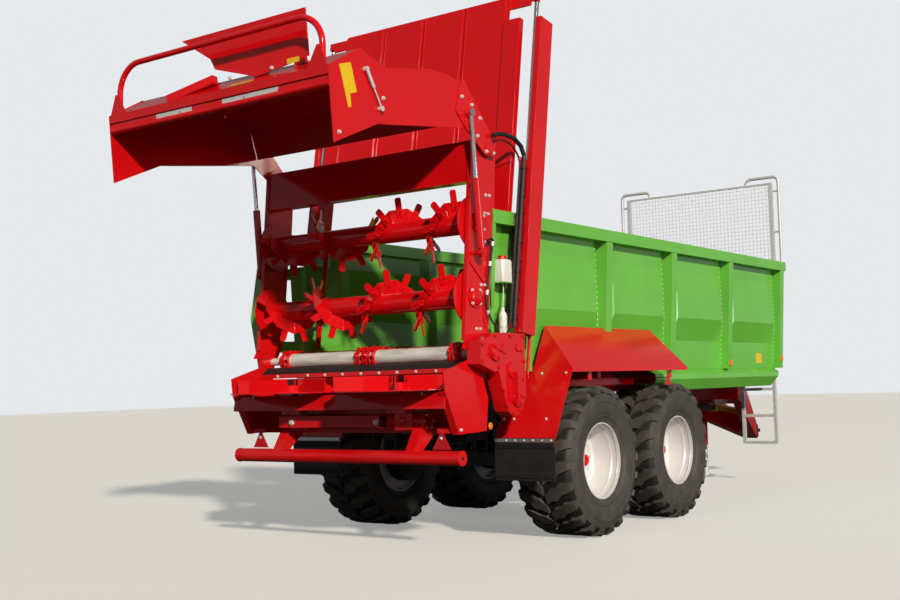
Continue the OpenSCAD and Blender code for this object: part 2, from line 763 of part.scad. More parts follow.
module cross_shaft() {
    color(RED) {
        block([-2330, -170, 905], [-2325, 850, 1000]);
        block([-2330, -170, 995], [-2265, 850, 1000]);
        block([-2330, -170, 905], [-2265, 850, 910]);
        for (y = [-130, 790]) block([-2325, y, 940], [-2048, y + 30, 970]);
    }
    color(BLACK) cross_rod(-2205, 950, -disc_y + 80, disc_y - 80, 60);
}

module driveline() {
    color(BLACK) {
        rod([-2038.8, 0, 960], [4187.6, 0, 852.04], 90);
        for (x = [900, 3300]) block([x, -50, 860], [x + 80, 50, chassis_bottom + 30]);
    }
}

bumper_x = -2328;
bumper_z = 703;

module bumper() {
    color(RED) {
        cross_rod(bumper_x, bumper_z, -1058, 1058, 100);
        both_sides() {
            plate_xz([[-2375, 720], [-2290, 720], [-2105, 865], [-2105, 900], [-2220, 965]], 590, 80);
        }
    }
}

module reflectors() {
    color(RED) both_sides()
        plate_yz([[860, 889], [783, 758], [937, 758]], -2296, 8);
}

guard_out_y = 1275;
guard_low_z = 1294;
guard_in_y = 930;
guard_in_z = 1632;
guard_back_x = -1203;
guard_front_x = 789;
panel_slope = 0.565;
flap_top_z = 786;
panel_foot_x = guard_back_x - (guard_low_z - flap_top_z) * panel_slope;

module mudguards() {
    rise_x = guard_back_x + (guard_in_z - guard_low_z) * panel_slope;
    color(RED) both_sides() {
        difference() {
            intersection() {
                plate_yz(strip([[guard_in_y, guard_in_z], [guard_out_y, guard_low_z], [guard_out_y, guard_low_z - 26]], -5),
                         guard_back_x - 200, guard_front_x - guard_back_x + 400);
                plate_xz([[rise_x, guard_in_z + 8], [guard_front_x - 15, guard_in_z + 8],
                          [guard_front_x, guard_low_z - 30], [guard_back_x - 15, guard_low_z - 30]], 700, 700);
            }
            for (x = stake_fronts)
                plate_yz([[stake_in_y, wall_foot_z], [stake_foot_y + 0.8, wall_foot_z],
                          [rail_out_y - 3.2, rail_top_z - rail_h], [stake_in_y, rail_top_z - rail_h]],
                         x - stake_w - 0.8, stake_w + 1.6);
        }
        intersection() {
            plate_xz(strip([[rise_x, guard_in_z], [panel_foot_x, flap_top_z]], 5), 600, 800);
            plate_yz([[guard_in_y, guard_in_z - 2], [guard_in_y, wall_foot_z - 1], [760, wall_foot_z - 10],
                      [760, flap_top_z], [guard_out_y, flap_top_z], [guard_out_y, guard_low_z]],
                     -1700, 1000);
        }
        plate_xz([[-1290, 1150], [750, 1150], [750, 1215], [-1253, 1215]], 760, 5);
        block([panel_foot_x - 1.7, 762, flap_top_z - 40], [panel_foot_x + 4, 1273, flap_top_z + 3]);
        for (x = [-900, 500]) {
            block([x, chassis_y + chassis_w, 1200], [x + 50, 760, 1212]);
            block([x, 765, 1205], [x + 50, guard_out_y - 40, 1212]);
            block([x, guard_out_y - 48, 1205], [x + 50, guard_out_y - 40, guard_low_z + 36]);
        }
    }
}

module mud_flaps() {
    color(BLACK) both_sides() block([panel_foot_x - 10, 762, flap_top_z - 300], [panel_foot_x - 2, 1273, flap_top_z + 10]);
}

module lubricator() {
    color(SILVER) {
        block([-1754, -1050, 1925], [-1626, -955, 2090]);
        translate([-1700, -1000, 1560]) cylinder(h = 180, d = 60);
    }
    color(RED) translate([-1690, -1002, 2090]) cylinder(h = 30, d = 64);
}

// The hose runs from the hood cylinder's supply over to the post and down its carrier bar
hose_d = 34;
hose_y = -(1036 + hose_d / 2 + 0.3);
function on_carrier(z) = [door_ref_x + (z - door_ref_z) * tan(door_lean) + 20, hose_y, z];

module hoses() {
    pts = concat([[-1850, hose_y - 8, 2965], [-1790, hose_y - 6, 2985], [-1690, hose_y, 3000], [-1560, hose_y, 2990],
                  [-1470, hose_y, 2945], [-1430, hose_y, 2880]],
                 [for (z = [2800:-200:1600]) on_carrier(z)]);
    color(BLACK) sweep(pts, hose_d, 10);
}

pto_z = 750;
pto_bore = 35;
pto_depth = 80;

module drive_shaft() {
    color(YELLOW) rod([4330, 0, 848], [5150, 0, 758.3], 74);
    color(BLACK) {
        rod([4190, 0, 852], [4330, 0, 848], 110);
        rod([5150, 0, 758.3], [5196, 0, 752], 60);
        difference() {
            rod([5195, 0, pto_z], [5300, 0, pto_z], 90);
            rod([5300 - pto_depth, 0, pto_z], [5301, 0, pto_z], pto_bore);
        }
    }
}

jack_r = 45;

module jack_sleeve() {
    color(RED) difference() {
        translate([jack_x, jack_y, 380]) cylinder(h = 640, r = jack_r);
        translate([jack_x, jack_y, 370]) cylinder(h = 630, r = jack_r - 8);
    }
}

module jack_leg() {
    color(ZINC) {
        translate([jack_x, jack_y, 12]) cylinder(h = 600, r = jack_r - 8.1);
        translate([jack_x, jack_y, 0]) cylinder(h = 12, d = 240);
    }
}

module disc() {
    color(RED) difference() {
        union() {
            cylinder(h = disc_t, r = disc_r);
            cylinder(h = 60, d = 150);
            for (i = [0:vanes - 1]) rotate([0, 0, i * 360 / vanes])
                translate([70, -4, disc_t]) cube([disc_r - 75, 8, vane_h]);
        }
        translate([0, 0, -eps]) cylinder(h = 200, d = disc_shaft_d + 2 * shaft_gap);
    }
}

module at_hinge() {
    translate([hinge_x, 0, hinge_z]) children();
}

module hood() {
    half = hood_in_y;
    color(RED) at_hinge() {
        both_sides() {
            plate_xz(hood_side, hood_in_y, hood_t);
            difference() {
                plate_xz([[-343, 409], [-400, 200], [-290, 95], [-60, -60], [60, -60], [80, 40], [-300, 440]],
                         hood_in_y + hood_t, hood_t);
                cross_rod(0, 0, hood_in_y, hood_in_y + 40, hinge_d + 2 * shaft_gap);
            }
        }
        plate_xz(strip([[-250, 150], [-343, 404], [-489, 432], [-668, 432], [-1165, 343], [-1407, 420], [-1700, 258]], 6),
                 -half, 2 * half);
        plate_xz([[-1704, 262], [-1704, 205], [-1645, 205], [-1645, 262]], -half, 2 * half);
        plate_xz([[-1690, 210], [-1690, 145], [-1684, 145], [-1684, 210]], -half, 2 * half);
        cross_rod(-1680, 152, -half, half, 46);
        both_sides() plate_yz([[half - 10, 262], [half - 170, 262], [half - 90, 400], [half - 60, 400]], -1700, 6);
        hood_flap();
        plate_xz([[-1645, 208], [-1645, 85], [-1560, 205]], -80, 10);
        block([-1645, -80, 205], [-1560, -70, 215]);
        plate_xz([[-1450, 380], [-1450, 405], [-1180, 380], [-1180, 345], [-1300, 370]], 180, 330);
    }
}

// Flap that stands on the hood's rear slope, on two stays
module hood_flap() {
    plate_yz([[-723, 405], [-700, 720], [450, 720], [358, 662], [170, 543], [126, 466], [-252, 352], [-445, 367]],
             -1540, 6);
    for (y = [-600, -240])
        plate_xz([[-1536, 346], [-1536, 640], [-1410, 416]], y, 8);
}

module hood_bow() {
    color(RED) at_hinge() both_sides() {
        r = 200;
        difference() {
            translate([bow_x, 950, bow_low - 20]) cylinder(h = bow_high - r - bow_low + 20, d = bow_d);
            plate_xz([[-1407, 420.2], [-1692.6, 262.2], [-1750, 262.2], [-1750, 0], [-1407, 0]], 900, 100);
        }
        translate([bow_x, 950 - r, bow_high - r]) rotate([90, 0, 90]) rotate_extrude(angle = 90) translate([r, 0]) circle(d = bow_d);
        cross_rod(bow_x, bow_high, 0, 950 - r, bow_d);
    }
}

cyl_foot = [hinge_x + barrel_pin[0], hinge_z + barrel_pin[1]];
cyl_head = [hinge_x + rod_eye[0], hinge_z + rod_eye[1]];
cyl_len = norm(cyl_head - cyl_foot);
cyl_lean = atan2(cyl_head[0] - cyl_foot[0], cyl_head[1] - cyl_foot[1]);
barrel_len = 520;

module in_cylinder() {
    translate([cyl_foot[0], cyl_y, cyl_foot[1]]) rotate([0, cyl_lean, 0]) children();
}

module hood_barrels() {
    color(RED) both_sides() in_cylinder() {
        difference() {
            union() {
                translate([0, 0, 30]) cylinder(h = barrel_len - 30, d = barrel_d);
                rotate([90, 0, 0]) cylinder(h = 36, d = 66, center = true);
            }
            translate([0, 0, 60]) cylinder(h = barrel_len, d = rod_d + 2 * shaft_gap);
            rotate([90, 0, 0]) cylinder(h = 60, d = pin_d + 2 * shaft_gap, center = true);
        }
    }
}

module hood_rods() {
    color(CHROME) both_sides() in_cylinder() {
        difference() {
            union() {
                translate([0, 0, barrel_len - 50]) cylinder(h = cyl_len - barrel_len + 50, d = rod_d);
                translate([0, 0, cyl_len]) rotate([90, 0, 0]) cylinder(h = 34, d = 56, center = true);
                translate([0, hood_in_y + 2 * hood_t + 0.3 - cyl_y, cyl_len])
                    rotate([-90, 0, 0]) cylinder(h = 42, d = pin_d);
            }
        }
    }
}

bead_r = 291;
flange_t = 6;
wheel_disc = -150;

module tyre() {
    h = tyre_w / 2;
    b = rim_w / 2 - flange_t;
    color(BLACK) rotate([90, 0, 0]) rotate_extrude()
        polygon([[bead_r, -b], [rim_r + 1, -b], [rim_r + 12, -h + 28], [430, -h], [500, -h + 8],
                 [tyre_r - 14, -h + 34], [tyre_r, -h + 90], [tyre_r, h - 90], [tyre_r - 14, h - 34],
                 [500, h - 8], [430, h], [rim_r + 12, h - 28], [rim_r + 1, b], [bead_r, b],
                 [bead_r, b - 30], [rim_r + 12, b - 30], [rim_r + 32, h - 56], [430, h - 26], [490, h - 34],
                 [tyre_r - 52, h - 66], [tyre_r - 52, 66 - h], [490, 34 - h], [430, 26 - h],
                 [rim_r + 32, 56 - h], [rim_r + 12, 30 - b], [bead_r, 30 - b]]);
}

module rim() {
    h = rim_w / 2;
    color(SILVER) rotate([90, 0, 0]) difference() {
        union() {
            rotate_extrude()
                polygon([[bead_r, -h + flange_t], [bead_r, h - flange_t], [rim_r, h - flange_t], [rim_r, h],
                         [284, h], [278, 60], [278, -60], [284, -h], [rim_r, -h], [rim_r, -h + flange_t]]);
            rotate_extrude() polygon([[0, wheel_disc], [284, wheel_disc], [284, wheel_disc + 12], [0, wheel_disc + 12]]);
            translate([0, 0, wheel_disc - 50]) cylinder(h = 120, d = 230);
        }
        translate([0, 0, -230]) cylinder(h = 116, d = stub_d + 2 * shaft_gap);
    }
}

module wheel_at(sx, sy) {
    translate([sx * axle_half, sy * wheel_y, tyre_r]) rotate([0, 0, sy > 0 ? 180 : 0]) children();
}

at_machine() {
    chassis();
    drawbar();
    hitch_eye();
    axles();
    springs();
    floor_panel();  // floor
    side_wall_right();
    side_wall_left();
    front_wall();
    skirts();
    mesh_guard();
    grab_hoops();
    ladder();
    scraper_chains();
    chain_shaft();
    chain_gearbox();
    door_guides();
    door_posts();
    door_barrels();
    door_rods();
    driveline();
    beater_frame();
    cross_panel();
    spreader_table();
    rubber_apron();
    disc_gearboxes();
    cross_shaft();
    bumper();
    reflectors();
    mudguards();
    mud_flaps();
    lubricator();
    hoses();
    drive_shaft();
    jack_sleeve();
    jack_leg();
    door();
    translate([upper_x, 0, upper_z]) beater(upper_start);  // beater_upper
    translate([beater_x, 0, beater_z]) beater(lower_start);  // beater_lower
    translate([disc_x, -disc_y, disc_z]) disc();  // disc_right
    translate([disc_x, disc_y, disc_z]) rotate([0, 0, 36]) disc();  // disc_left
    hood();
    hood_bow();
    hood_barrels();
    hood_rods();
    wheel_at(1, -1) tyre();  // tyre_front_right
    wheel_at(1, -1) rim();  // rim_front_right
    wheel_at(1, 1) tyre();  // tyre_front_left
    wheel_at(1, 1) rim();  // rim_front_left
    wheel_at(-1, -1) tyre();  // tyre_rear_right
    wheel_at(-1, -1) rim();  // rim_rear_right
    wheel_at(-1, 1) tyre();  // tyre_rear_left
    wheel_at(-1, 1) rim();  // rim_rear_left
}
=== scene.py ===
"""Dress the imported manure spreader: paint, tyres, fasteners, hoses and a plain studio stage."""

import json
import math

import bmesh
import bpy
from bpy.props import FloatProperty, IntProperty, PointerProperty, StringProperty
from mathutils import Matrix, Vector

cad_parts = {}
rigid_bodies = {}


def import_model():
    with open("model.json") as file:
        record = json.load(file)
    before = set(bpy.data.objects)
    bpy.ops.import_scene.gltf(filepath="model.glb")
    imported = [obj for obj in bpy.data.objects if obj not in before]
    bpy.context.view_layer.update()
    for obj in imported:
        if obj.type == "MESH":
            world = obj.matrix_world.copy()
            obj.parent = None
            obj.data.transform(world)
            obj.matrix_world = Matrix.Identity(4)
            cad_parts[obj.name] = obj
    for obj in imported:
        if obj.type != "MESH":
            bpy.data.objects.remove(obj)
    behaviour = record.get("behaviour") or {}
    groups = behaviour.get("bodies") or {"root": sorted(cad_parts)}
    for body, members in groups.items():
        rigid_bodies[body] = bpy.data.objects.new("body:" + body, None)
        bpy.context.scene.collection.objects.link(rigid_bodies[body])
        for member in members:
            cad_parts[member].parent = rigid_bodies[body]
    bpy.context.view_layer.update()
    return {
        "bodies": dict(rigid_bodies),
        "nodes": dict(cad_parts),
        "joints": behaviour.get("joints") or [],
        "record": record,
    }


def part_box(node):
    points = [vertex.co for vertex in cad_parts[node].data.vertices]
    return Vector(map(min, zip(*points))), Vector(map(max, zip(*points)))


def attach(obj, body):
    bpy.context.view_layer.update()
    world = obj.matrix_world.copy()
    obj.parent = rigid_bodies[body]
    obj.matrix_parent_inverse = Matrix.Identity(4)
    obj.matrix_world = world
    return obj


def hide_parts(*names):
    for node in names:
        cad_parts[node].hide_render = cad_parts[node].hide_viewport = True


bl_info = {
    "name": "Manure Spreader Dressing",
    "version": (1, 0, 0),
    "blender": (4, 5, 0),
    "location": "View3D > Sidebar > Spreader",
    "description": "Finishes, small parts and a stage for a tandem manure spreader",
    "category": "Object",
}

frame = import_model()
NODES = frame["nodes"]
JOINTS = {joint["name"]: joint for joint in frame["joints"]}
WHEELS = [name for name in frame["bodies"] if name.startswith("wheel_")]
TANDEM_X = sum(JOINTS[name + "_spin"]["pos_m"][0] for name in WHEELS) / len(WHEELS)
SIDES = (-1, 1)
CHAIN_ENDS = (-2.0, 3.86)
CHAIN_LINES = (-0.815, -0.05, 0.05, 0.815)
CHAIN_Z = 1.415
DOOR_LEAN = math.radians(9.5)
TYRE_R = 0.58
CROWN_R = 0.556


def at(x, y, z):
    """A point measured forwards from the middle of the tandem, to the left, and up from the ground."""
    return Vector((x + TANDEM_X, y, z))


def metres(name, description, default):
    """A length of a settings group."""
    return FloatProperty(name=name, description=description, default=default, unit="LENGTH")


def hex_value(name, description, default):
    """A colour of a settings group, as an sRGB hex value."""
    return StringProperty(name=name, description=description, default=default)


CROSS_SHAFT = at(-2.205, 0, 0.95)


class PaintSettings(bpy.types.PropertyGroup):
    """Colours of the painted and moulded surfaces, as sRGB hex values."""

    red: hex_value("Red", "Powder coat of the frame and the hood", "#d60e15")
    green: hex_value("Green", "Powder coat of the load body", "#6bbf44")
    black: hex_value("Black", "Chassis enamel of the running gear", "#1a1b1c")
    silver: hex_value("Silver", "Wheel enamel", "#dadbdb")
    rubber: hex_value("Rubber", "Clean tyre rubber", "#3b3a38")
    dust: hex_value("Dust", "Dried road dust", "#8f8168")
    peel: metres("Orange peel", "Spacing of the powder coat's ripples", 0.007)
    edge: metres("Edge radius", "How far the coat rounds a sheet's edge", 0.003)


class TyreSettings(bpy.types.PropertyGroup):
    """Radial tyre tread and the wheel's fasteners."""

    lugs: IntProperty(name="Lugs", description="Lugs along each half of the tread", default=22)
    depth: metres("Tread depth", "Height of a lug over the carcass", 0.027)
    nuts: IntProperty(name="Wheel nuts", description="Nuts round each hub", default=10)
    nut_circle: metres("Nut circle", "Radius of the circle of nuts", 0.1675)


class ScraperSettings(bpy.types.PropertyGroup):
    """Round-link chains and slats of the scraper floor."""

    link_pitch: metres("Link pitch", "Inner length of a link", 0.064)
    link_wire: metres("Link wire", "Diameter of a link's round steel", 0.014)
    slat_pitch: metres("Slat pitch", "Distance between slats", 0.38)


class BeaterSettings(bpy.types.PropertyGroup):
    """Screw flights and teeth of the two lying beaters."""

    pitch: metres("Pitch", "Lead of the folded flight", 0.5)
    drum: metres("Drum radius", "Radius of the drum tube", 0.075)
    flight: metres("Flight radius", "Reach of the flight plates", 0.165)
    tip: metres("Tooth radius", "Reach of the bolted teeth", 0.253)


class GuardSettings(bpy.types.PropertyGroup):
    """Welded wire mesh over the front wall."""

    pitch: metres("Mesh pitch", "Distance between wires", 0.042)
    wire: metres("Wire", "Diameter of a wire", 0.005)


class FastenerSettings(bpy.types.PropertyGroup):
    """Bolt and rivet heads."""

    flats: metres("Across flats", "Width of a bolt head", 0.021)
    head: metres("Head height", "Height of a bolt head", 0.013)
    rivet: metres("Rivet", "Diameter of a rivet head", 0.014)


class StageSettings(bpy.types.PropertyGroup):
    """Camera, lamps and floor."""

    focal: FloatProperty(name="Focal length", description="Lens on a 36 mm sensor", default=47.594)
    sun: FloatProperty(name="Sun", description="Strength of the one soft sun", default=3.65)
    sky: FloatProperty(name="Sky", description="Strength of the overcast sky", default=0.38)
    softbox: FloatProperty(name="Softbox", description="Power of the low strip of light on the right",
                           default=900.0)
    floor: hex_value("Floor", "Pale floor", "#d9d9d6")


def linear(code):
    """An sRGB hex value as linear red, green, blue and alpha."""
    parts = [int(code[i:i + 2], 16) / 255 for i in (1, 3, 5)]
    return tuple(c / 12.92 if c <= 0.04045 else ((c + 0.055) / 1.055) ** 2.4 for c in parts) + (1.0,)


def add(tree, kind, inputs=None, **settings):
    """Add a node with its settings, and give its inputs values or links."""
    node = tree.nodes.new(kind)
    for name, value in settings.items():
        setattr(node, name, value)
    for name, value in (inputs or {}).items():
        if isinstance(value, bpy.types.NodeSocket):
            tree.links.new(value, node.inputs[name])
        else:
            node.inputs[name].default_value = value
    return node


def new_surface(name):
    """A bare material: its node tree and its Object coordinates."""
    material = bpy.data.materials.new(name)
    material.use_nodes = True
    tree = material.node_tree
    tree.nodes.clear()
    place = add(tree, "ShaderNodeTexCoord").outputs["Object"]
    return material, tree, place


def finish_surface(tree, inputs):
    """Close a material with one Principled shader."""
    shader = add(tree, "ShaderNodeBsdfPrincipled", inputs)
    add(tree, "ShaderNodeOutputMaterial", {"Surface": shader.outputs["BSDF"]})


def noise(tree, place, size, detail=2.0):
    """Noise whose features are about size metres apart."""
    node = add(tree, "ShaderNodeTexNoise", {"Vector": place, "Scale": 1 / size, "Detail": detail})
    return node.outputs["Fac"]


def spread(tree, value, low, high, to_low, to_high):
    """Map a value from one range to another, held at the ends."""
    node = add(tree, "ShaderNodeMapRange", {"Value": value, "From Min": low, "From Max": high,
                                            "To Min": to_low, "To Max": to_high})
    return node.outputs["Result"]


def times(tree, a, b):
    """Product of two values."""
    return add(tree, "ShaderNodeMath", {0: a, 1: b}, operation="MULTIPLY").outputs[0]


def blend(tree, share, a, b):
    """Mix two colours by a share."""
    node = add(tree, "ShaderNodeMix", {"Factor": share, "A": a, "B": b}, data_type="RGBA")
    return node.outputs["Result"]


def powder_coated_steel(name, colour, roughness=0.2, metallic=0.0, gloss=0.5):
    """Polyester powder baked on sheet steel: glossy, faintly rippled, with a trace of dust low down."""
    paint = bpy.context.scene.spreader_paint
    material, tree, place = new_surface(name)
    rounded = add(tree, "ShaderNodeBevel", {"Radius": paint.edge}, samples=4).outputs["Normal"]
    peel = add(tree, "ShaderNodeBump", {"Height": noise(tree, place, paint.peel, 1.0), "Normal": rounded,
                                        "Strength": 0.05, "Distance": 0.001})
    height = add(tree, "ShaderNodeSeparateXYZ", {"Vector": place}).outputs["Z"]
    low = spread(tree, height, 0.3, 1.3, 0.10, 0.0)
    film = times(tree, low, spread(tree, noise(tree, place, 0.22, 6.0), 0.4, 0.75, 0.0, 1.0))
    tone = blend(tree, spread(tree, noise(tree, place, 0.6), 0.35, 0.65, 0.0, 0.10),
                 linear(colour), (0, 0, 0, 1))
    finish_surface(tree, {
        "Base Color": blend(tree, film, tone, linear(paint.dust)),
        "Roughness": spread(tree, film, 0.0, 0.3, roughness, 0.6),
        "Metallic": metallic,
        "Specular IOR Level": gloss,
        "Coat Weight": 0.3 * gloss,
        "Coat Roughness": 0.05,
        "Normal": peel.outputs["Normal"],
    })
    return material


def galvanised_steel(name):
    """Hot-dip zinc: pale grey spangle about 12 mm across, with a dull sheen."""
    material, tree, place = new_surface(name)
    spangle = add(tree, "ShaderNodeTexVoronoi", {"Vector": place, "Scale": 1 / 0.012}).outputs["Color"]
    grey = add(tree, "ShaderNodeSeparateColor", {"Color": spangle}).outputs[0]
    finish_surface(tree, {
        "Base Color": blend(tree, grey, linear("#c9cdce"), linear("#e0e3e4")),
        "Metallic": 0.3,
        "Roughness": spread(tree, grey, 0.0, 1.0, 0.38, 0.55),
    })
    return material


def hard_chrome(name):
    """Ground and chromed cylinder rod: mirror bright, with fine grinding marks round it."""
    material, tree, place = new_surface(name)
    marks = noise(tree, place, 0.002)
    finish_surface(tree, {
        "Base Color": linear("#dfe2e5"),
        "Metallic": 1.0,
        "Roughness": spread(tree, marks, 0.3, 0.7, 0.05, 0.16),
    })
    return material


def scoured_steel(name):
    """Bare steel tube polished by the load: satin, with long dull smears and a few dark specks."""
    material, tree, place = new_surface(name)
    along = add(tree, "ShaderNodeMapping", {"Vector": place, "Scale": (1.0, 0.15, 1.0)}).outputs["Vector"]
    smears = spread(tree, noise(tree, along, 0.03, 4.0), 0.35, 0.65, 0.0, 1.0)
    specks = spread(tree, noise(tree, place, 0.008, 2.0), 0.70, 0.76, 0.0, 1.0)
    grey = blend(tree, smears, linear("#e6e9e5"), linear("#c2c6c0"))
    finish_surface(tree, {
        "Base Color": blend(tree, specks, grey, linear("#5d5a52")),
        "Metallic": 0.1,
        "Roughness": spread(tree, smears, 0.0, 1.0, 0.22, 0.45),
    })
    return material


def tyre_rubber(name):
    """Vulcanised rubber, greyed by use, with sandy dust on the flanks and in the tread."""
    paint = bpy.context.scene.spreader_paint
    material, tree, place = new_surface(name)
    clouds = noise(tree, place, 0.09, 6.0)
    fine = noise(tree, place, 0.012, 4.0)
    film = times(tree, spread(tree, clouds, 0.42, 0.78, 0.02, 0.20), spread(tree, fine, 0.3, 0.7, 0.5, 1.0))
    bump = add(tree, "ShaderNodeBump", {"Height": fine, "Strength": 0.12, "Distance": 0.002})
    finish_surface(tree, {
        "Base Color": blend(tree, film, linear(paint.rubber), linear(paint.dust)),
        "Roughness": spread(tree, film, 0.0, 0.5, 0.62, 0.85),
        "Normal": bump.outputs["Normal"],
    })
    return material


def rolled_aluminium(name):
    """Mill-finish aluminium strip: bright, with rolling lines along it."""
    material, tree, place = new_surface(name)
    lines = add(tree, "ShaderNodeMapping", {"Vector": place, "Scale": (1.0, 0.05, 1.0)}).outputs["Vector"]
    marks = noise(tree, lines, 0.002, 3.0)
    finish_surface(tree, {
        "Base Color": blend(tree, marks, linear("#c3c6c8"), linear("#dadcdd")),
        "Metallic": 0.9,
        "Roughness": spread(tree, marks, 0.3, 0.7, 0.3, 0.45),
    })
    return material


def moulded_rubber(name, colour="#17181a"):
    """Extruded or moulded black rubber: matt with a low sheen."""
    material, tree, place = new_surface(name)
    bump = add(tree, "ShaderNodeBump", {"Height": noise(tree, place, 0.004, 3.0), "Strength": 0.1,
                                        "Distance": 0.001})
    tone = spread(tree, noise(tree, place, 0.12, 5.0), 0.35, 0.7, 0.0, 0.08)
    finish_surface(tree, {
        "Base Color": blend(tree, tone, linear(colour), linear("#5a5248")),
        "Roughness": 0.58,
        "Normal": bump.outputs["Normal"],
    })
    return material


def moulded_plastic(name, colour, roughness=0.35):
    """Blow-moulded polyethylene: waxy, with a soft mottle."""
    material, tree, place = new_surface(name)
    mottle = spread(tree, noise(tree, place, 0.03, 3.0), 0.3, 0.7, 0.0, 0.08)
    finish_surface(tree, {
        "Base Color": blend(tree, mottle, linear(colour), linear("#6b6b66")),
        "Roughness": roughness,
    })
    return material


def make_finishes():
    """Every finish by its plain name."""
    paint = bpy.context.scene.spreader_paint
    return {
        "red": powder_coated_steel("red_powder_coat", paint.red, 0.14, gloss=0.4),
        "green": powder_coated_steel("green_powder_coat", paint.green),
        "black": powder_coated_steel("black_chassis_enamel", paint.black, 0.45),
        "silver": powder_coated_steel("silver_wheel_enamel", paint.silver, 0.36, 0.15),
        "zinc": galvanised_steel("galvanised_steel"),
        "chrome": hard_chrome("hard_chrome"),
        "scoured": scoured_steel("scoured_steel"),
        "tyre": tyre_rubber("tyre_rubber"),
        "rubber": moulded_rubber("moulded_rubber"),
        # groove: near-black rubber laid between the tyre lugs as painted shade in the grooves
        "groove": moulded_rubber("tread_floor_rubber", "#141312"),
        "white": moulded_plastic("white_polyethylene", "#e4e6e0"),
        "yellow": moulded_plastic("yellow_guard_plastic", "#e9c412"),
        "lens": moulded_plastic("red_reflector_lens", "#b80f1a", 0.15),
        "amber": moulded_plastic("amber_lens", "#ef7d10", 0.15),
        # Pale green for the green-coated weld beads: a painted glint
        "glint_green": powder_coated_steel("weld_glint_coat", "#cfe6b4", 0.2),
        "aluminium": rolled_aluminium("rolled_aluminium"),
    }


SLOT_FINISH = {
    "red_paint": "red", "green_paint": "green", "black_paint": "black", "galvanised": "zinc",
    "chrome": "chrome", "silver_paint": "silver", "tyre": "tyre", "rubber": "rubber",
    "yellow_plastic": "yellow", "white_plastic": "white", "reflector_red": "lens",
}
FINISH_SLOT = {finish: slot for slot, finish in SLOT_FINISH.items()}
FINISH_SLOT.update({
    "scoured": "galvanised", "aluminium": "galvanised", "groove": "tyre", "amber": "yellow_plastic",
    "glint_green": "green_paint",
})
FINISHES = {}


class Shape:
    """Gathers the faces of one piece."""

    def __init__(self):
        self.bm = bmesh.new()

    def rings(self, rings, closed=False, capped=True):
        """Skin a row of rings that have the same number of points."""
        rows = [[self.bm.verts.new(point) for point in ring] for ring in rings]
        pairs = list(zip(rows, rows[1:])) + ([(rows[-1], rows[0])] if closed else [])
        for low, high in pairs:
            for i in range(len(low)):
                j = (i + 1) % len(low)
                self.bm.faces.new((low[i], low[j], high[j], high[i]))
        if capped and not closed:
            self.bm.faces.new(rows[0][::-1])
            self.bm.faces.new(rows[-1])

    def prism(self, outline, low, high, place=Matrix()):
        """An outline in X and Y, between two heights."""
        self.rings([[place @ Vector((x, y, z)) for x, y in outline] for z in (low, high)])

    def box(self, low, high, place=Matrix()):
        """A box between two corners."""
        outline = ((low[0], low[1]), (high[0], low[1]), (high[0], high[1]), (low[0], high[1]))
        self.prism(outline, low[2], high[2], place)

    def turned(self, profile, place=Matrix(), sides=32):
        """A closed profile of radius and height, turned about Z."""
        rings = []
        for i in range(sides):
            turn = 2 * math.pi * i / sides
            rings.append([place @ Vector((r * math.cos(turn), r * math.sin(turn), h)) for r, h in profile])
        self.rings(rings, closed=True)
        bmesh.ops.remove_doubles(self.bm, verts=self.bm.verts, dist=1e-5)

    def washer(self, inner, outer, low, high, place=Matrix(), sides=32):
        """A ring between two radii and heights, or a disc where the inner radius is zero."""
        self.turned([(inner, low), (outer, low), (outer, high), (inner, high)], place, sides)

    def twin_boxes(self, low, high, place=Matrix()):
        """The same box on the right and on the left, its Y measured outwards."""
        for side in SIDES:
            inner, outer = sorted((side * low[1], side * high[1]))
            self.box((low[0], inner, low[2]), (high[0], outer, high[2]), place)

    def tube(self, points, diameter, sides=10):
        """A round tube or bar along points."""
        points = [Vector(point) for point in points]
        side = None
        rings = []
        for i, point in enumerate(points):
            way = (points[min(i + 1, len(points) - 1)] - points[max(i - 1, 0)]).normalized()
            side = way.orthogonal() if side is None else side - way * side.dot(way)
            side.normalize()
            up = way.cross(side)
            rings.append([point + (side * math.cos(t) + up * math.sin(t)) * diameter / 2
                          for t in (2 * math.pi * k / sides for k in range(sides))])
        self.rings(rings)

    def mesh(self, name):
        """The shape as a mesh with its faces outwards and its sharp edges kept."""
        bmesh.ops.recalc_face_normals(self.bm, faces=self.bm.faces)
        mesh = bpy.data.meshes.new(name)
        self.bm.to_mesh(mesh)
        self.bm.free()
        mesh.shade_smooth()
        mesh.set_sharp_from_angle(angle=math.radians(32))
        return mesh


def link(thing):
    """Put an object in the scene."""
    bpy.context.scene.collection.objects.link(thing)


def seat(name, form, body, finish, *nodes):
    """Add a shape or a mesh as a finished piece that rides on a body and may stand for nodes."""
    mesh = form.mesh(name) if isinstance(form, Shape) else form
    mesh.materials.clear()
    mesh.materials.append(FINISHES[finish])
    piece = bpy.data.objects.new(name, mesh)
    link(piece)
    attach(piece, body)
    if nodes:
        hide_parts(*nodes)
    return piece


def along_y(origin, outward=1):
    """A place whose Z runs along the machine's Y, outwards to the given side."""
    return Matrix.Translation(origin) @ Matrix.Rotation(-outward * math.pi / 2, 4, "X")


def leaning(origin, turn):
    """A place turned about the machine's Y."""
    return Matrix.Translation(origin) @ Matrix.Rotation(turn, 4, "Y")


def ring_of(place, radius, height, count, start, way):
    """Spots round a place's Z at a height, from a starting angle, all facing one way."""
    turns = (start + 2 * math.pi * k / count for k in range(count))
    return [(place @ Vector((radius * math.cos(t), radius * math.sin(t), height)), way) for t in turns]


def on_side(side, out, points):
    """Spots at one distance out from the middle, each given by X and Z and facing outwards."""
    return [(at(x, side * out, z), (0, side, 0)) for x, z in points]


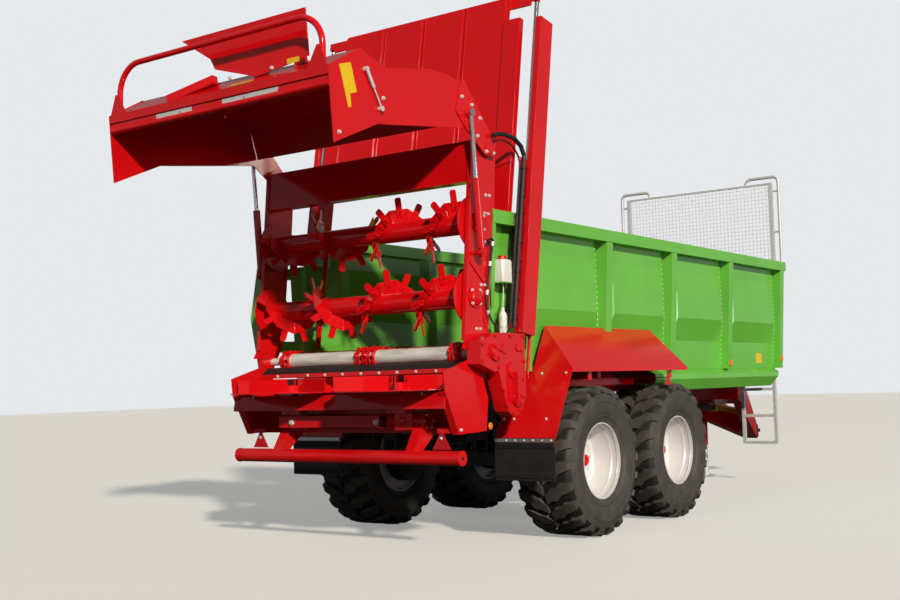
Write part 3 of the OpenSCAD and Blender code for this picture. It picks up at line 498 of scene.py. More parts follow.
def soft_path(points, steps=6):
    """Points on a smooth curve through the given ones."""
    points = [Vector(point) for point in points]
    ends = [2 * points[0] - points[1], *points, 2 * points[-1] - points[-2]]
    path = []
    for a, b, c, d in zip(ends, ends[1:], ends[2:], ends[3:]):
        for k in range(steps):
            t = k / steps
            path.append(((2 * b) + (c - a) * t + (2 * a - 5 * b + 4 * c - d) * t ** 2
                         + (3 * b - a - 3 * c + d) * t ** 3) / 2)
    return [*path, points[-1]]


def socket(tree, name, kind, way="INPUT"):
    """Add a named socket to a node group."""
    return tree.interface.new_socket(name=name, in_out=way, socket_type=kind)


def repeat_tree():
    """Copies one shape to every point, turned to the point's own direction."""
    tree = bpy.data.node_groups.new("repeat_on_points", "GeometryNodeTree")
    for name, kind in (("Points", "Geometry"), ("Shape", "Object"), ("Size", "Vector"),
                       ("Finish", "Material")):
        socket(tree, name, "NodeSocket" + kind)
    socket(tree, "Result", "NodeSocketGeometry", "OUTPUT")
    given = add(tree, "NodeGroupInput").outputs
    way = add(tree, "GeometryNodeInputNamedAttribute", {"Name": "way"},
              data_type="FLOAT_VECTOR").outputs["Attribute"]
    turn = add(tree, "GeometryNodeInputNamedAttribute", {"Name": "turn"},
               data_type="FLOAT").outputs["Attribute"]
    faced = add(tree, "FunctionNodeAlignRotationToVector", {"Vector": way}, axis="Z").outputs["Rotation"]
    spin = add(tree, "FunctionNodeAxisAngleToRotation",
               {"Axis": (0, 0, 1), "Angle": turn}).outputs["Rotation"]
    stance = add(tree, "FunctionNodeRotateRotation", {"Rotation": faced, "Rotate By": spin},
                 rotation_space="LOCAL")
    shape = add(tree, "GeometryNodeObjectInfo", {"Object": given["Shape"]}).outputs["Geometry"]
    copies = add(tree, "GeometryNodeInstanceOnPoints",
                 {"Points": given["Points"], "Instance": shape, "Rotation": stance.outputs["Rotation"],
                  "Scale": given["Size"]})
    real = add(tree, "GeometryNodeRealizeInstances", {"Geometry": copies.outputs["Instances"]})
    coated = add(tree, "GeometryNodeSetMaterial",
                 {"Geometry": real.outputs["Geometry"], "Material": given["Finish"]})
    add(tree, "NodeGroupOutput", {"Result": coated.outputs["Geometry"]})
    return tree


def repeat(name, spots, shape, size, body, finish, *nodes):
    """Make one piece of many copies of a shape: each spot is a point, a direction and a turn about it."""
    tree = bpy.data.node_groups.get("repeat_on_points") or repeat_tree()
    seeds = bpy.data.meshes.new(name + "_points")
    seeds.from_pydata([tuple(spot[0]) for spot in spots], [], [])
    ways = [part for spot in spots for part in spot[1]]
    turns = [spot[2] if len(spot) > 2 else 0.0 for spot in spots]
    seeds.attributes.new("way", "FLOAT_VECTOR", "POINT").data.foreach_set("vector", ways)
    seeds.attributes.new("turn", "FLOAT", "POINT").data.foreach_set("value", turns)
    holder = bpy.data.objects.new(name + "_holder", seeds)
    pattern = bpy.data.objects.new(name + "_pattern", shape.mesh(name + "_pattern"))
    for item in (holder, pattern):
        link(item)
    modifier = holder.modifiers.new("repeat", "NODES")
    modifier.node_group = tree
    values = {"Shape": pattern, "Size": size, "Finish": FINISHES[finish]}
    for item in tree.interface.items_tree:
        if item.name in values:
            modifier[item.identifier] = values[item.name]
    ready = holder.evaluated_get(bpy.context.evaluated_depsgraph_get())
    mesh = bpy.data.meshes.new_from_object(ready)
    for item in (holder, pattern):
        bpy.data.objects.remove(item)
    for stray in [a.name for a in mesh.attributes if a.name in ("way", "turn")]:
        mesh.attributes.remove(mesh.attributes[stray])
    return seat(name, mesh, body, finish, *nodes)


def hex_head():
    """Bolt head of unit width and height on a thin washer."""
    shape = Shape()
    shape.washer(0, 0.70, 0, 0.16, sides=14)
    ring = [(0.577 * math.cos(math.pi * k / 3), 0.577 * math.sin(math.pi * k / 3)) for k in range(6)]
    shape.rings([[Vector((x * s, y * s, z)) for x, y in ring] for z, s in ((0.1, 1), (0.88, 1), (1, 0.86))])
    return shape


def dome_head():
    """Rivet or weld dome of unit width and half as high."""
    shape = Shape()
    shape.turned([(0, 0), (0.5, 0), (0.44, 0.28), (0.26, 0.46), (0, 0.5)], sides=10)
    return shape


def round_bar():
    """Round bar of unit width and length about its middle."""
    shape = Shape()
    shape.washer(0, 0.5, -0.5, 0.5, sides=6)
    return shape


def ring_band():
    """Band of unit bore and height."""
    shape = Shape()
    shape.washer(0.5, 0.62, -0.5, 0.5, sides=20)
    return shape


def rib_bar():
    """Moulded rib of unit sides, narrower on top."""
    shape = Shape()
    shape.rings([[Vector((x * s, y, z)) for x, y in ((-0.5, -0.5), (0.5, -0.5), (0.5, 0.5), (-0.5, 0.5))]
                 for z, s in ((0, 1), (1, 0.6))])
    return shape


def bolts(name, spots, body, finish="zinc", scale=1.0):
    """Bolt heads at the spots."""
    sizes = bpy.context.scene.spreader_fasteners
    return repeat(name, spots, hex_head(), (sizes.flats * scale, sizes.flats * scale,
                                            sizes.head * scale), body, finish)


def rivets(name, spots, body, finish="zinc", scale=1.0):
    """Rivet heads at the spots."""
    size = bpy.context.scene.spreader_fasteners.rivet * scale
    return repeat(name, spots, dome_head(), (size, size, size), body, finish)


def wall_y(z):
    """Outer face of the side walls at a height."""
    profile = ((1.28, 0.865), (1.55, 0.875), (1.76, 0.94), (1.99, 0.94), (2.2, 0.915), (2.35, 0.925))
    for (z0, y0), (z1, y1) in zip(profile, profile[1:]):
        if z <= z1:
            return y0 + (y1 - y0) * (z - z0) / (z1 - z0)
    return profile[-1][1]


class SPREADER_OT_finishes(bpy.types.Operator):
    """Make the finishes and put one on every solid of the frame"""

    bl_idname = "spreader.finishes"
    bl_label = "Paint the solids"

    def execute(self, context):
        FINISHES.update(make_finishes())
        for row in frame["record"]["subparts"]:
            mesh = NODES[row["node"]].data
            mesh.materials.clear()
            finish = "scoured" if row["node"] == "chain_shaft" else SLOT_FINISH[row["material_slot"]]
            mesh.materials.append(FINISHES[finish])
        return {"FINISHED"}


class SPREADER_OT_tyres(bpy.types.Operator):
    """Make the four tyres: a carcass with soft flanks, staggered lugs that wrap over the shoulders, and a
    near-black shell between the lugs that paints the shade in the grooves
    """

    bl_idname = "spreader.tyres"
    bl_label = "Tyres"

    def execute(self, context):
        for name in WHEELS:
            hub = Vector(JOINTS[name + "_spin"]["pos_m"])
            seat(name.replace("wheel", "carcass"), self.carcass(hub), name, "tyre",
                 name.replace("wheel", "tyre"))
            # A thin near-black shell over the crown, between the lugs: painted shade in the tread's grooves
            seat(name.replace("wheel", "tread_floor"), self.floor(hub), name, "groove")
            self.lugs(name, hub, context.scene.spreader_tyres)
        return {"FINISHED"}

    def carcass(self, hub):
        flank = [(0.0, 0.556), (0.10, 0.555), (0.185, 0.552), (0.216, 0.541), (0.236, 0.516),
                 (0.2445, 0.485), (0.2465, 0.462), (0.2495, 0.458), (0.2465, 0.454), (0.2475, 0.42),
                 (0.243, 0.375), (0.232, 0.350), (0.234, 0.344), (0.228, 0.340), (0.2185, 0.321),
                 (0.2168, 0.2975), (0.2152, 0.2945), (0.18, 0.291), (0.18, 0.33), (0.20, 0.36),
                 (0.225, 0.43), (0.21, 0.49), (0.16, 0.52), (0.0, 0.525)]
        outer = [(r, h) for h, r in flank[:18]]
        inner = [(r, h) for h, r in flank[18:]]
        left = outer + inner
        right = [(r, -h) for r, h in left if h > 0]
        shape = Shape()
        shape.turned(left + right[::-1], along_y(hub), sides=96)
        return shape

    # The shell for the painted groove shade, just proud of the carcass crown
    def floor(self, hub):
        half = [(0.10, 0.555), (0.185, 0.552), (0.216, 0.541), (0.236, 0.516)]
        crown = [(-h, r) for h, r in half[::-1]] + [(0.0, CROWN_R)] + half
        shape = Shape()
        shape.turned([(r + 0.0007, h) for h, r in crown] + [(r - 0.002, h) for h, r in crown[::-1]],
                     along_y(hub), sides=96)
        return shape

    def lugs(self, name, hub, sizes):
        pattern = Shape()
        step = 2 * math.pi / sizes.lugs
        top = CROWN_R + sizes.depth - 0.003
        stations = [(0.008, 0.000, top, 0.003, 0.545, 0.040), (0.058, 0.044, top, 0.058, 0.545, 0.047),
                    (0.104, 0.050, top, 0.104, 0.544, 0.050), (0.150, 0.094, top, 0.148, 0.543, 0.046),
                    (0.200, 0.106, top - 0.003, 0.194, 0.535, 0.038),
                    (0.232, 0.112, 0.562, 0.212, 0.530, 0.032), (0.2485, 0.116, 0.524, 0.232, 0.508, 0.026)]
        for side in SIDES:
            rings = []
            for y, t, r, low_y, low_r, half in stations:
                ring = []
                foot = half + 0.006
                for out, reach, along in ((low_y, low_r, t - foot), (y, r, t - half),
                                          (y, r, t + half), (low_y, low_r, t + foot)):
                    turn = along / TYRE_R + (step / 4) * side
                    ring.append(Vector((reach * math.sin(turn), side * out, reach * math.cos(turn))))
                rings.append(ring)
            pattern.rings(rings)
        spots = [(hub, (math.sin(k * step + 0.02), 0, math.cos(k * step + 0.02)))
                 for k in range(sizes.lugs)]
        repeat(name.replace("wheel", "lugs"), spots, pattern, (1, 1, 1), name, "tyre")


class SPREADER_OT_hubs(bpy.types.Operator):
    """Cap the hubs and ring them with wheel nuts"""

    bl_idname = "spreader.hubs"
    bl_label = "Hubs and nuts"

    def execute(self, context):
        sizes = context.scene.spreader_tyres
        for name in WHEELS:
            hub = Vector(JOINTS[name + "_spin"]["pos_m"])
            side = 1 if hub.y > 0 else -1
            place = along_y(hub, side)
            cap = Shape()
            cap.turned([(0, 0.077), (0.034, 0.077), (0.045, 0.070), (0.047, 0.022), (0.060, 0.014),
                        (0.098, 0.010), (0.104, 0.004), (0.104, -0.080), (0.128, -0.090), (0.130, -0.136),
                        (0.1157, -0.136), (0.098, -0.0797), (0, -0.0797)], place, 40)
            seat(name.replace("wheel", "hub"), cap, name, "red")
            dish = Shape()
            dish.turned([(0.2835, 0.2058), (0.2790, 0.150), (0.2715, 0.140), (0.2705, 0.105),
                         (0.2600, 0.088), (0.2590, 0.008), (0.252, -0.004), (0.228, -0.014),
                         (0.205, -0.004), (0.115, -0.004), (0.115, -0.010), (0.205, -0.010),
                         (0.228, -0.020), (0.2775, -0.016), (0.2775, 0.06), (0.2825, 0.20)], place, 64)
            seat(name.replace("wheel", "dish"), dish, name, "silver")
            start = 0.6 * math.pi / sizes.nuts
            nuts = ring_of(place, sizes.nut_circle, -0.004, sizes.nuts, start, (0, side, 0))
            bolts(name.replace("wheel", "nuts"), nuts, name, scale=1.4)
            caps = ring_of(place, 0.084, 0.011, sizes.nuts, start, (0, side, 0))
            bolts(name.replace("wheel", "cap_bolts"), caps, name, "red", scale=0.9)
        return {"FINISHED"}


class SPREADER_OT_scraper(bpy.types.Operator):
    """Make the scraper floor's four round-link chains and its channel slats"""

    bl_idname = "spreader.scraper"
    bl_label = "Scraper chains and slats"

    def execute(self, context):
        sizes = context.scene.spreader_scraper
        rear, front, z, r = *CHAIN_ENDS, CHAIN_Z, 0.062
        straight = front - rear
        length = 2 * straight + 2 * math.pi * r
        count = 2 * int(length / sizes.link_pitch / 2)
        spots = []
        for y in CHAIN_LINES:
            for k in range(count):
                s = length * k / count
                if s < straight:
                    spot, way = (rear + s, z + r), (1, 0)
                elif s < straight + math.pi * r:
                    turn = (s - straight) / r
                    spot = (front + r * math.sin(turn), z + r * math.cos(turn))
                    way = (math.cos(turn), -math.sin(turn))
                elif s < 2 * straight + math.pi * r:
                    spot, way = (front - (s - straight - math.pi * r), z - r), (-1, 0)
                else:
                    turn = (s - 2 * straight - math.pi * r) / r
                    spot = (rear - r * math.sin(turn), z - r * math.cos(turn))
                    way = (-math.cos(turn), math.sin(turn))
                spots.append((at(spot[0], y, spot[1]), (way[0], 0, way[1]), (k % 2) * math.pi / 2))
        repeat("chain_links", spots, self.link(sizes), (1, 1, 1), "frame", "red", "scraper_chains")
        self.wheels()
        slats = []
        x = rear + 0.25
        while x < front - 0.06:
            for low in (1.4531, 2 * z - 1.4881):
                slats += [(at(x, side * 0.429, low), (0, 0, 1)) for side in SIDES]
            x += sizes.slat_pitch
        channel = Shape()
        outline = [(0, 0), (0.046, 0), (0.046, 0.035), (0.040, 0.035), (0.040, 0.006), (0.006, 0.006),
                   (0.006, 0.035), (0, 0.035)]
        channel.prism(outline, -0.409, 0.409, Matrix.Rotation(math.pi / 2, 4, "X"))
        repeat("floor_slats", slats, channel, (1, 1, 1), "frame", "red", "scraper_chains")
        return {"FINISHED"}

    def wheels(self):
        rim = []
        for k in range(40):
            r = 0.086 if k % 5 in (1, 2, 3) else 0.072
            turn = 2 * math.pi * k / 40
            rim.append((r * math.cos(turn), r * math.sin(turn)))
        shape = Shape()
        for x in CHAIN_ENDS:
            for y in CHAIN_LINES:
                for side in SIDES:
                    shape.prism(rim, -0.006, 0.006, along_y(at(x, y + side * 0.034, CHAIN_Z)))
        seat("chain_wheels", shape, "frame", "red")

    def link(self, sizes):
        shape = Shape()
        wire = sizes.link_wire / 2
        bend = 0.017
        reach = sizes.link_pitch / 2 - bend
        rings = []
        for k in range(10):
            turn = math.pi * (k % 5) / 4 + (math.pi if k > 4 else 0)
            middle = Vector((bend * math.cos(turn), 0,
                             bend * math.sin(turn) + (reach if k < 5 else -reach)))
            out = Vector((math.cos(turn), 0, math.sin(turn)))
            rings.append([middle + (out * math.cos(a) + Vector((0, 1, 0)) * math.sin(a)) * wire
                          for a in (2 * math.pi * j / 5 for j in range(5))])
        shape.rings(rings, closed=True)
        return shape


class SPREADER_OT_beaters(bpy.types.Operator):
    """Make the two beaters: a drum with folded flight plates, one bolted tooth on each"""

    bl_idname = "spreader.beaters"
    bl_label = "Beaters"

    def execute(self, context):
        sizes = context.scene.spreader_beaters
        for name, starts in (("beater_upper", (170, 52)), ("beater_lower", (212, 69))):
            axis = Vector(JOINTS[name + "_spin"]["pos_m"])
            axis.y = 0
            body = Shape()
            body.turned([(0, -1.012), (0.03, -1.012), (0.03, -0.96), (sizes.drum, -0.96),
                         (sizes.drum, 0.96), (0.03, 0.96), (0.03, 1.012), (0, 1.012)], along_y(axis), 32)
            for side in SIDES:
                body.washer(sizes.drum - 0.002, 0.19, 0.95, 0.958, along_y(axis, side), 40)
            fixings = []
            teeth = Shape()
            for side, start in zip(SIDES, starts):
                self.flight(sizes, body, axis, side, start)
                for k in range(14):
                    self.tooth(sizes, teeth, fixings, axis, side, k, math.radians(start + 45 * k))
            seat(name + "_drum", body, name, "red", name)
            seat(name + "_teeth", teeth, name, "red", name)
            bolts(name + "_bolts", fixings, name, "red", scale=0.8)
        return {"FINISHED"}

    def flight(self, sizes, body, axis, side, start):
        """One strip of plate, folded across at every eighth of a turn."""
        reach = sizes.flight / math.cos(math.radians(22.5))
        rings = []
        for k in range(15):
            turn = math.radians(start + 45 * (k - 0.5))
            out = Vector((math.sin(turn), 0, math.cos(turn)))
            middle = axis + Vector((0, side * (0.06 + (k - 0.5) * sizes.pitch / 8), 0))
            rings.append([middle + out * r + Vector((0, y, 0))
                          for r, y in ((0.06, -0.004), (reach, -0.004), (reach, 0.004), (0.06, 0.004))])
        for pair in zip(rings, rings[1:]):
            body.rings(pair)

    def tooth(self, sizes, teeth, fixings, axis, side, k, turn):
        lean = math.atan(sizes.pitch / 8 / (2 * sizes.flight * math.tan(math.radians(22.5))))
        spot = axis + Vector((0, side * (0.06 + k * sizes.pitch / 8), 0))
        upright = (leaning(spot, turn) @ Matrix.Rotation(side * lean, 4, "Z")
                   @ Matrix.Rotation(math.pi / 2, 4, "X"))
        near = 1 if side < 0 else -1
        blade = [(-0.024, sizes.flight - 0.060), (-0.024, sizes.tip - 0.012), (-0.012, sizes.tip),
                 (0.018, sizes.tip), (0.024, sizes.tip - 0.016), (0.024, sizes.flight - 0.060)]
        teeth.prism(blade, *sorted((near * 0.0042, near * 0.0142)), upright)
        out = upright.to_3x3() @ Vector((0, 0, near))
        for reach in (0.035, 0.012):
            fixings.append((upright @ Vector((0, sizes.flight - reach, near * 0.0142)), tuple(out)))


class SPREADER_OT_guard(bpy.types.Operator):
    """Weave the front guard's wire mesh and tie the grab hoops to it"""

    bl_idname = "spreader.guard"
    bl_label = "Front guard"

    def execute(self, context):
        sizes = context.scene.spreader_guard
        low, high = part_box("mesh_guard")
        x = (low[0] + high[0]) / 2
        wide, tall = high[1] - low[1] - 0.06, high[2] - low[2] - 0.02
        middle = (low[2] + high[2]) / 2
        rows = int(tall / sizes.pitch)
        columns = int(wide / sizes.pitch)
        edge = Shape()
        for side in SIDES:
            outline = [(low[0], -0.02), (high[0], -0.02), (high[0], 0.02), (low[0], 0.02)]
            edge.prism([(u, v + side * (high[1] - 0.02)) for u, v in outline], low[2], high[2])
        edge.box((low[0] + 0.008, low[1] + 0.04, high[2] - 0.018),
                 (high[0] - 0.008, high[1] - 0.04, high[2]))
        edge.box((low[0], low[1] + 0.04, low[2]), (high[0], high[1] - 0.04, low[2] + 0.04))
        seat("guard_edge", edge, "frame", "zinc", "mesh_guard")
        upright = [(Vector((x, (k - columns / 2) * wide / columns, middle)), (0, 0, 1))
                   for k in range(1, columns)]
        level = [(Vector((x + sizes.wire, 0, middle + (k - rows / 2) * tall / rows)), (0, 1, 0))
                 for k in range(1, rows)]
        repeat("guard_wires_upright", upright, round_bar(), (1.6 * sizes.wire, 1.6 * sizes.wire, tall),
               "frame", "zinc", "mesh_guard")
        repeat("guard_wires_level", level, round_bar(), (sizes.wire, sizes.wire, wide + 0.02), "frame",
               "zinc", "mesh_guard")
        stubs = Shape()
        for side in SIDES:
            for z in (2.80, 3.26):
                stubs.tube([at(4.018, side * 0.90, z), at(4.018, side * 0.96, z)], 0.022)
        seat("hoop_stubs", stubs, "frame", "zinc")
        return {"FINISHED"}


class SPREADER_OT_walls(bpy.types.Operator):
    """Add the walls' weld dots, painted pale as their glints, side markers and blank plate, and the
    mudguards' fixings
    """

    bl_idname = "spreader.walls"
    bl_label = "Wall trim"

    def execute(self, context):
        dots = []
        for front in (3.993, 2.57, 1.255, 0.01, -1.23):
            for side in SIDES:
                for k in range(22):
                    z = 1.34 + k * 0.045
                    back = 0.100 + 0.110 * (wall_y(z) - 0.868) / 0.077
                    dots.append((at(front - back, side * wall_y(z), z), (0.5, side * 0.86, 0)))
        # The weld dots are painted pale green, standing in for the glints on the beads
        rivets("weld_dots", dots, "frame", "glint_green", 1.15)
        amber = Shape()
        for x, z in ((2.52, 1.34), (3.943, 1.386)):
            y = 0.94 + 0.064 * (z - 1.28) / 1.07
            amber.twin_boxes(at(x - 0.025, y - 0.001, z - 0.028), at(x + 0.025, y + 0.014, z + 0.028))
        for side in SIDES:
            amber.turned([(0, 0), (0.026, 0), (0.026, 0.004), (0.018, 0.009), (0, 0.011)],
                         along_y(at(-1.914, side * 1.008, 0.902), side), 24)
        seat("amber_lenses", amber, "frame", "amber")
        sheet = Shape()
        corners = [(3.40, 1.335), (3.56, 1.335), (3.56, 1.440), (3.40, 1.440)]
        sheet.rings([[at(x, -(wall_y(z) + proud), z) for x, z in corners] for proud in (0.0003, 0.0013)])
        seat("blank_plate", sheet, "frame", "yellow")
        self.mudguards()
        return {"FINISHED"}

    def mudguards(self):
        spots = []
        for side in SIDES:
            spots += [(at(-1.203 - (1.294 - z) * 0.565 - 0.004, side * y, z), (-0.87, 0, 0.49))
                      for y, z in ((1.022, 1.262), (1.229, 1.262), (0.883, 0.93), (0.794, 0.93),
                                   (1.16, 0.93))]
        bolts("mudguard_bolts", spots, "frame", scale=0.75)
        beads = Shape()
        for side in SIDES:
            beads.tube([at(-1.19, side * 1.272, 1.272), at(0.765, side * 1.272, 1.272)], 0.0055, 8)
        seat("mudguard_beads", beads, "frame", "red")
        lens = Shape()
        for side in SIDES:
            lens.rings([[at(x, side * y, z) for x, z in ((0.40, 1.145), (0.53, 1.145), (0.465, 1.258))]
                        for y in (1.2355, 1.2395)])
        seat("mudguard_reflectors", lens, "frame", "lens")


class SPREADER_OT_flaps(bpy.types.Operator):
    """Rib the mud flaps and clamp them under a riveted aluminium strip"""

    bl_idname = "spreader.flaps"
    bl_label = "Mud flap trim"

    def execute(self, context):
        low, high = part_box("mud_flaps")
        x = low[0]
        ribs = []
        heads = []
        strip = Shape()
        for side in SIDES:
            for z in (0.737, 0.522):
                ribs += [(Vector((x + 0.001, side * (0.785 + 0.0215 * k), z)), (-1, 0, 0))
                         for k in range(23)]
            heads += [(Vector((x - 0.004, side * (0.79 + 0.0765 * k), 0.779)), (-1, 0, 0))
                      for k in range(7)]
        strip.twin_boxes((x - 0.004, 0.765, 0.766), (x, 1.270, 0.792))
        seat("flap_strips", strip, "frame", "aluminium")
        repeat("flap_ribs", ribs, rib_bar(), (0.046, 0.011, 0.008), "frame", "rubber")
        rivets("flap_rivets", heads, "frame")
        return {"FINISHED"}


class SPREADER_OT_hood(bpy.types.Operator):
    """Add the hood's blank stickers, rim strip, gas spring, ear bolts and fittings"""

    bl_idname = "spreader.hood"
    bl_label = "Hood trim"

    def execute(self, context):
        sticker = Shape()
        outline = [(-3.467, 3.162), (-3.358, 3.194), (-3.306, 3.017), (-3.371, 2.995), (-3.360, 2.916),
                   (-3.389, 2.909)]
        sticker.rings([[at(x, y, z) for x, z in outline] for y in (-1.0282, -1.0292)])
        sticker.box(at(-3.4012, -0.64, 3.262), at(-3.4002, -0.535, 3.296))
        slope = leaning(at(-3.487, 0, 3.1795), math.radians(-28.9))
        sticker.box((-0.022, -0.30, 0.0003), (0.022, -0.10, 0.0013), slope)
        seat("hood_blank_stickers", sticker, "hood", "yellow")
        strip = Shape()
        strip.box(at(-3.5535, -1.0, 3.034), at(-3.5503, 1.0, 3.082))
        seat("rim_strip", strip, "hood", "red")
        worn = Shape()
        for inner, outer in ((-0.60, -0.10), (0.19, 0.54)):
            worn.box(at(-3.5541, inner, 3.036), at(-3.5535, outer, 3.080))
        seat("rim_wear_plates", worn, "hood", "zinc")
        spring = Shape()
        spring.tube([at(-3.225, -1.046, 3.175), at(-3.16, -1.046, 3.07)], 0.024, 14)
        seat("latch_tube", spring, "hood", "zinc")
        rod = Shape()
        rod.tube([at(-3.16, -1.046, 3.07), at(-3.085, -1.046, 2.948)], 0.011, 12)
        for x, z in ((-3.225, 3.175), (-3.085, 2.948)):
            rod.washer(0, 0.017, 0, 0.026, along_y(at(x, -1.028, z), -1), 16)
        seat("latch_rod", rod, "hood", "zinc")
        near = [(-3.049, 3.023), (-3.48, 2.74)]
        ears = [(-2.190, 3.189), (-2.073, 3.150), (-1.975, 3.071), (-2.010, 2.940), (-1.905, 2.845),
                (-1.815, 2.845)]
        spots = []
        for side in SIDES:
            spots += on_side(side, 1.028, near)
            spots += on_side(side, 1.036, ears)
        spots += [(at(-3.4, y, 3.262), (-1, 0, 0)) for y in (-0.40, -0.02)]
        bolts("hood_bolts", spots, "hood")
        heads = [(at(-3.5535, -0.9 + 0.3 * k, 3.058), (-1, 0, 0)) for k in range(7)]
        rivets("rim_rivets", heads, "hood", "red", 0.8)
        self.bosses()
        return {"FINISHED"}

    def bosses(self):
        shape = Shape()
        shape.tube([at(-3.450, 0.53, 3.195), at(-3.365, 0.16, 3.290)], 0.078, 4)
        for y in (0.235, 0.455):
            shape.turned([(0, 0), (0.036, 0), (0.036, 0.014), (0.024, 0.022), (0, 0.022)],
                         leaning(at(-3.311, y, 3.272), -math.pi / 2), 20)
        for side in SIDES:
            shape.washer(0.0255, 0.052, 0, 0.006, along_y(at(-1.86, side * 1.0362, 2.88), side), 28)
        seat("hood_bosses", shape, "hood", "red")


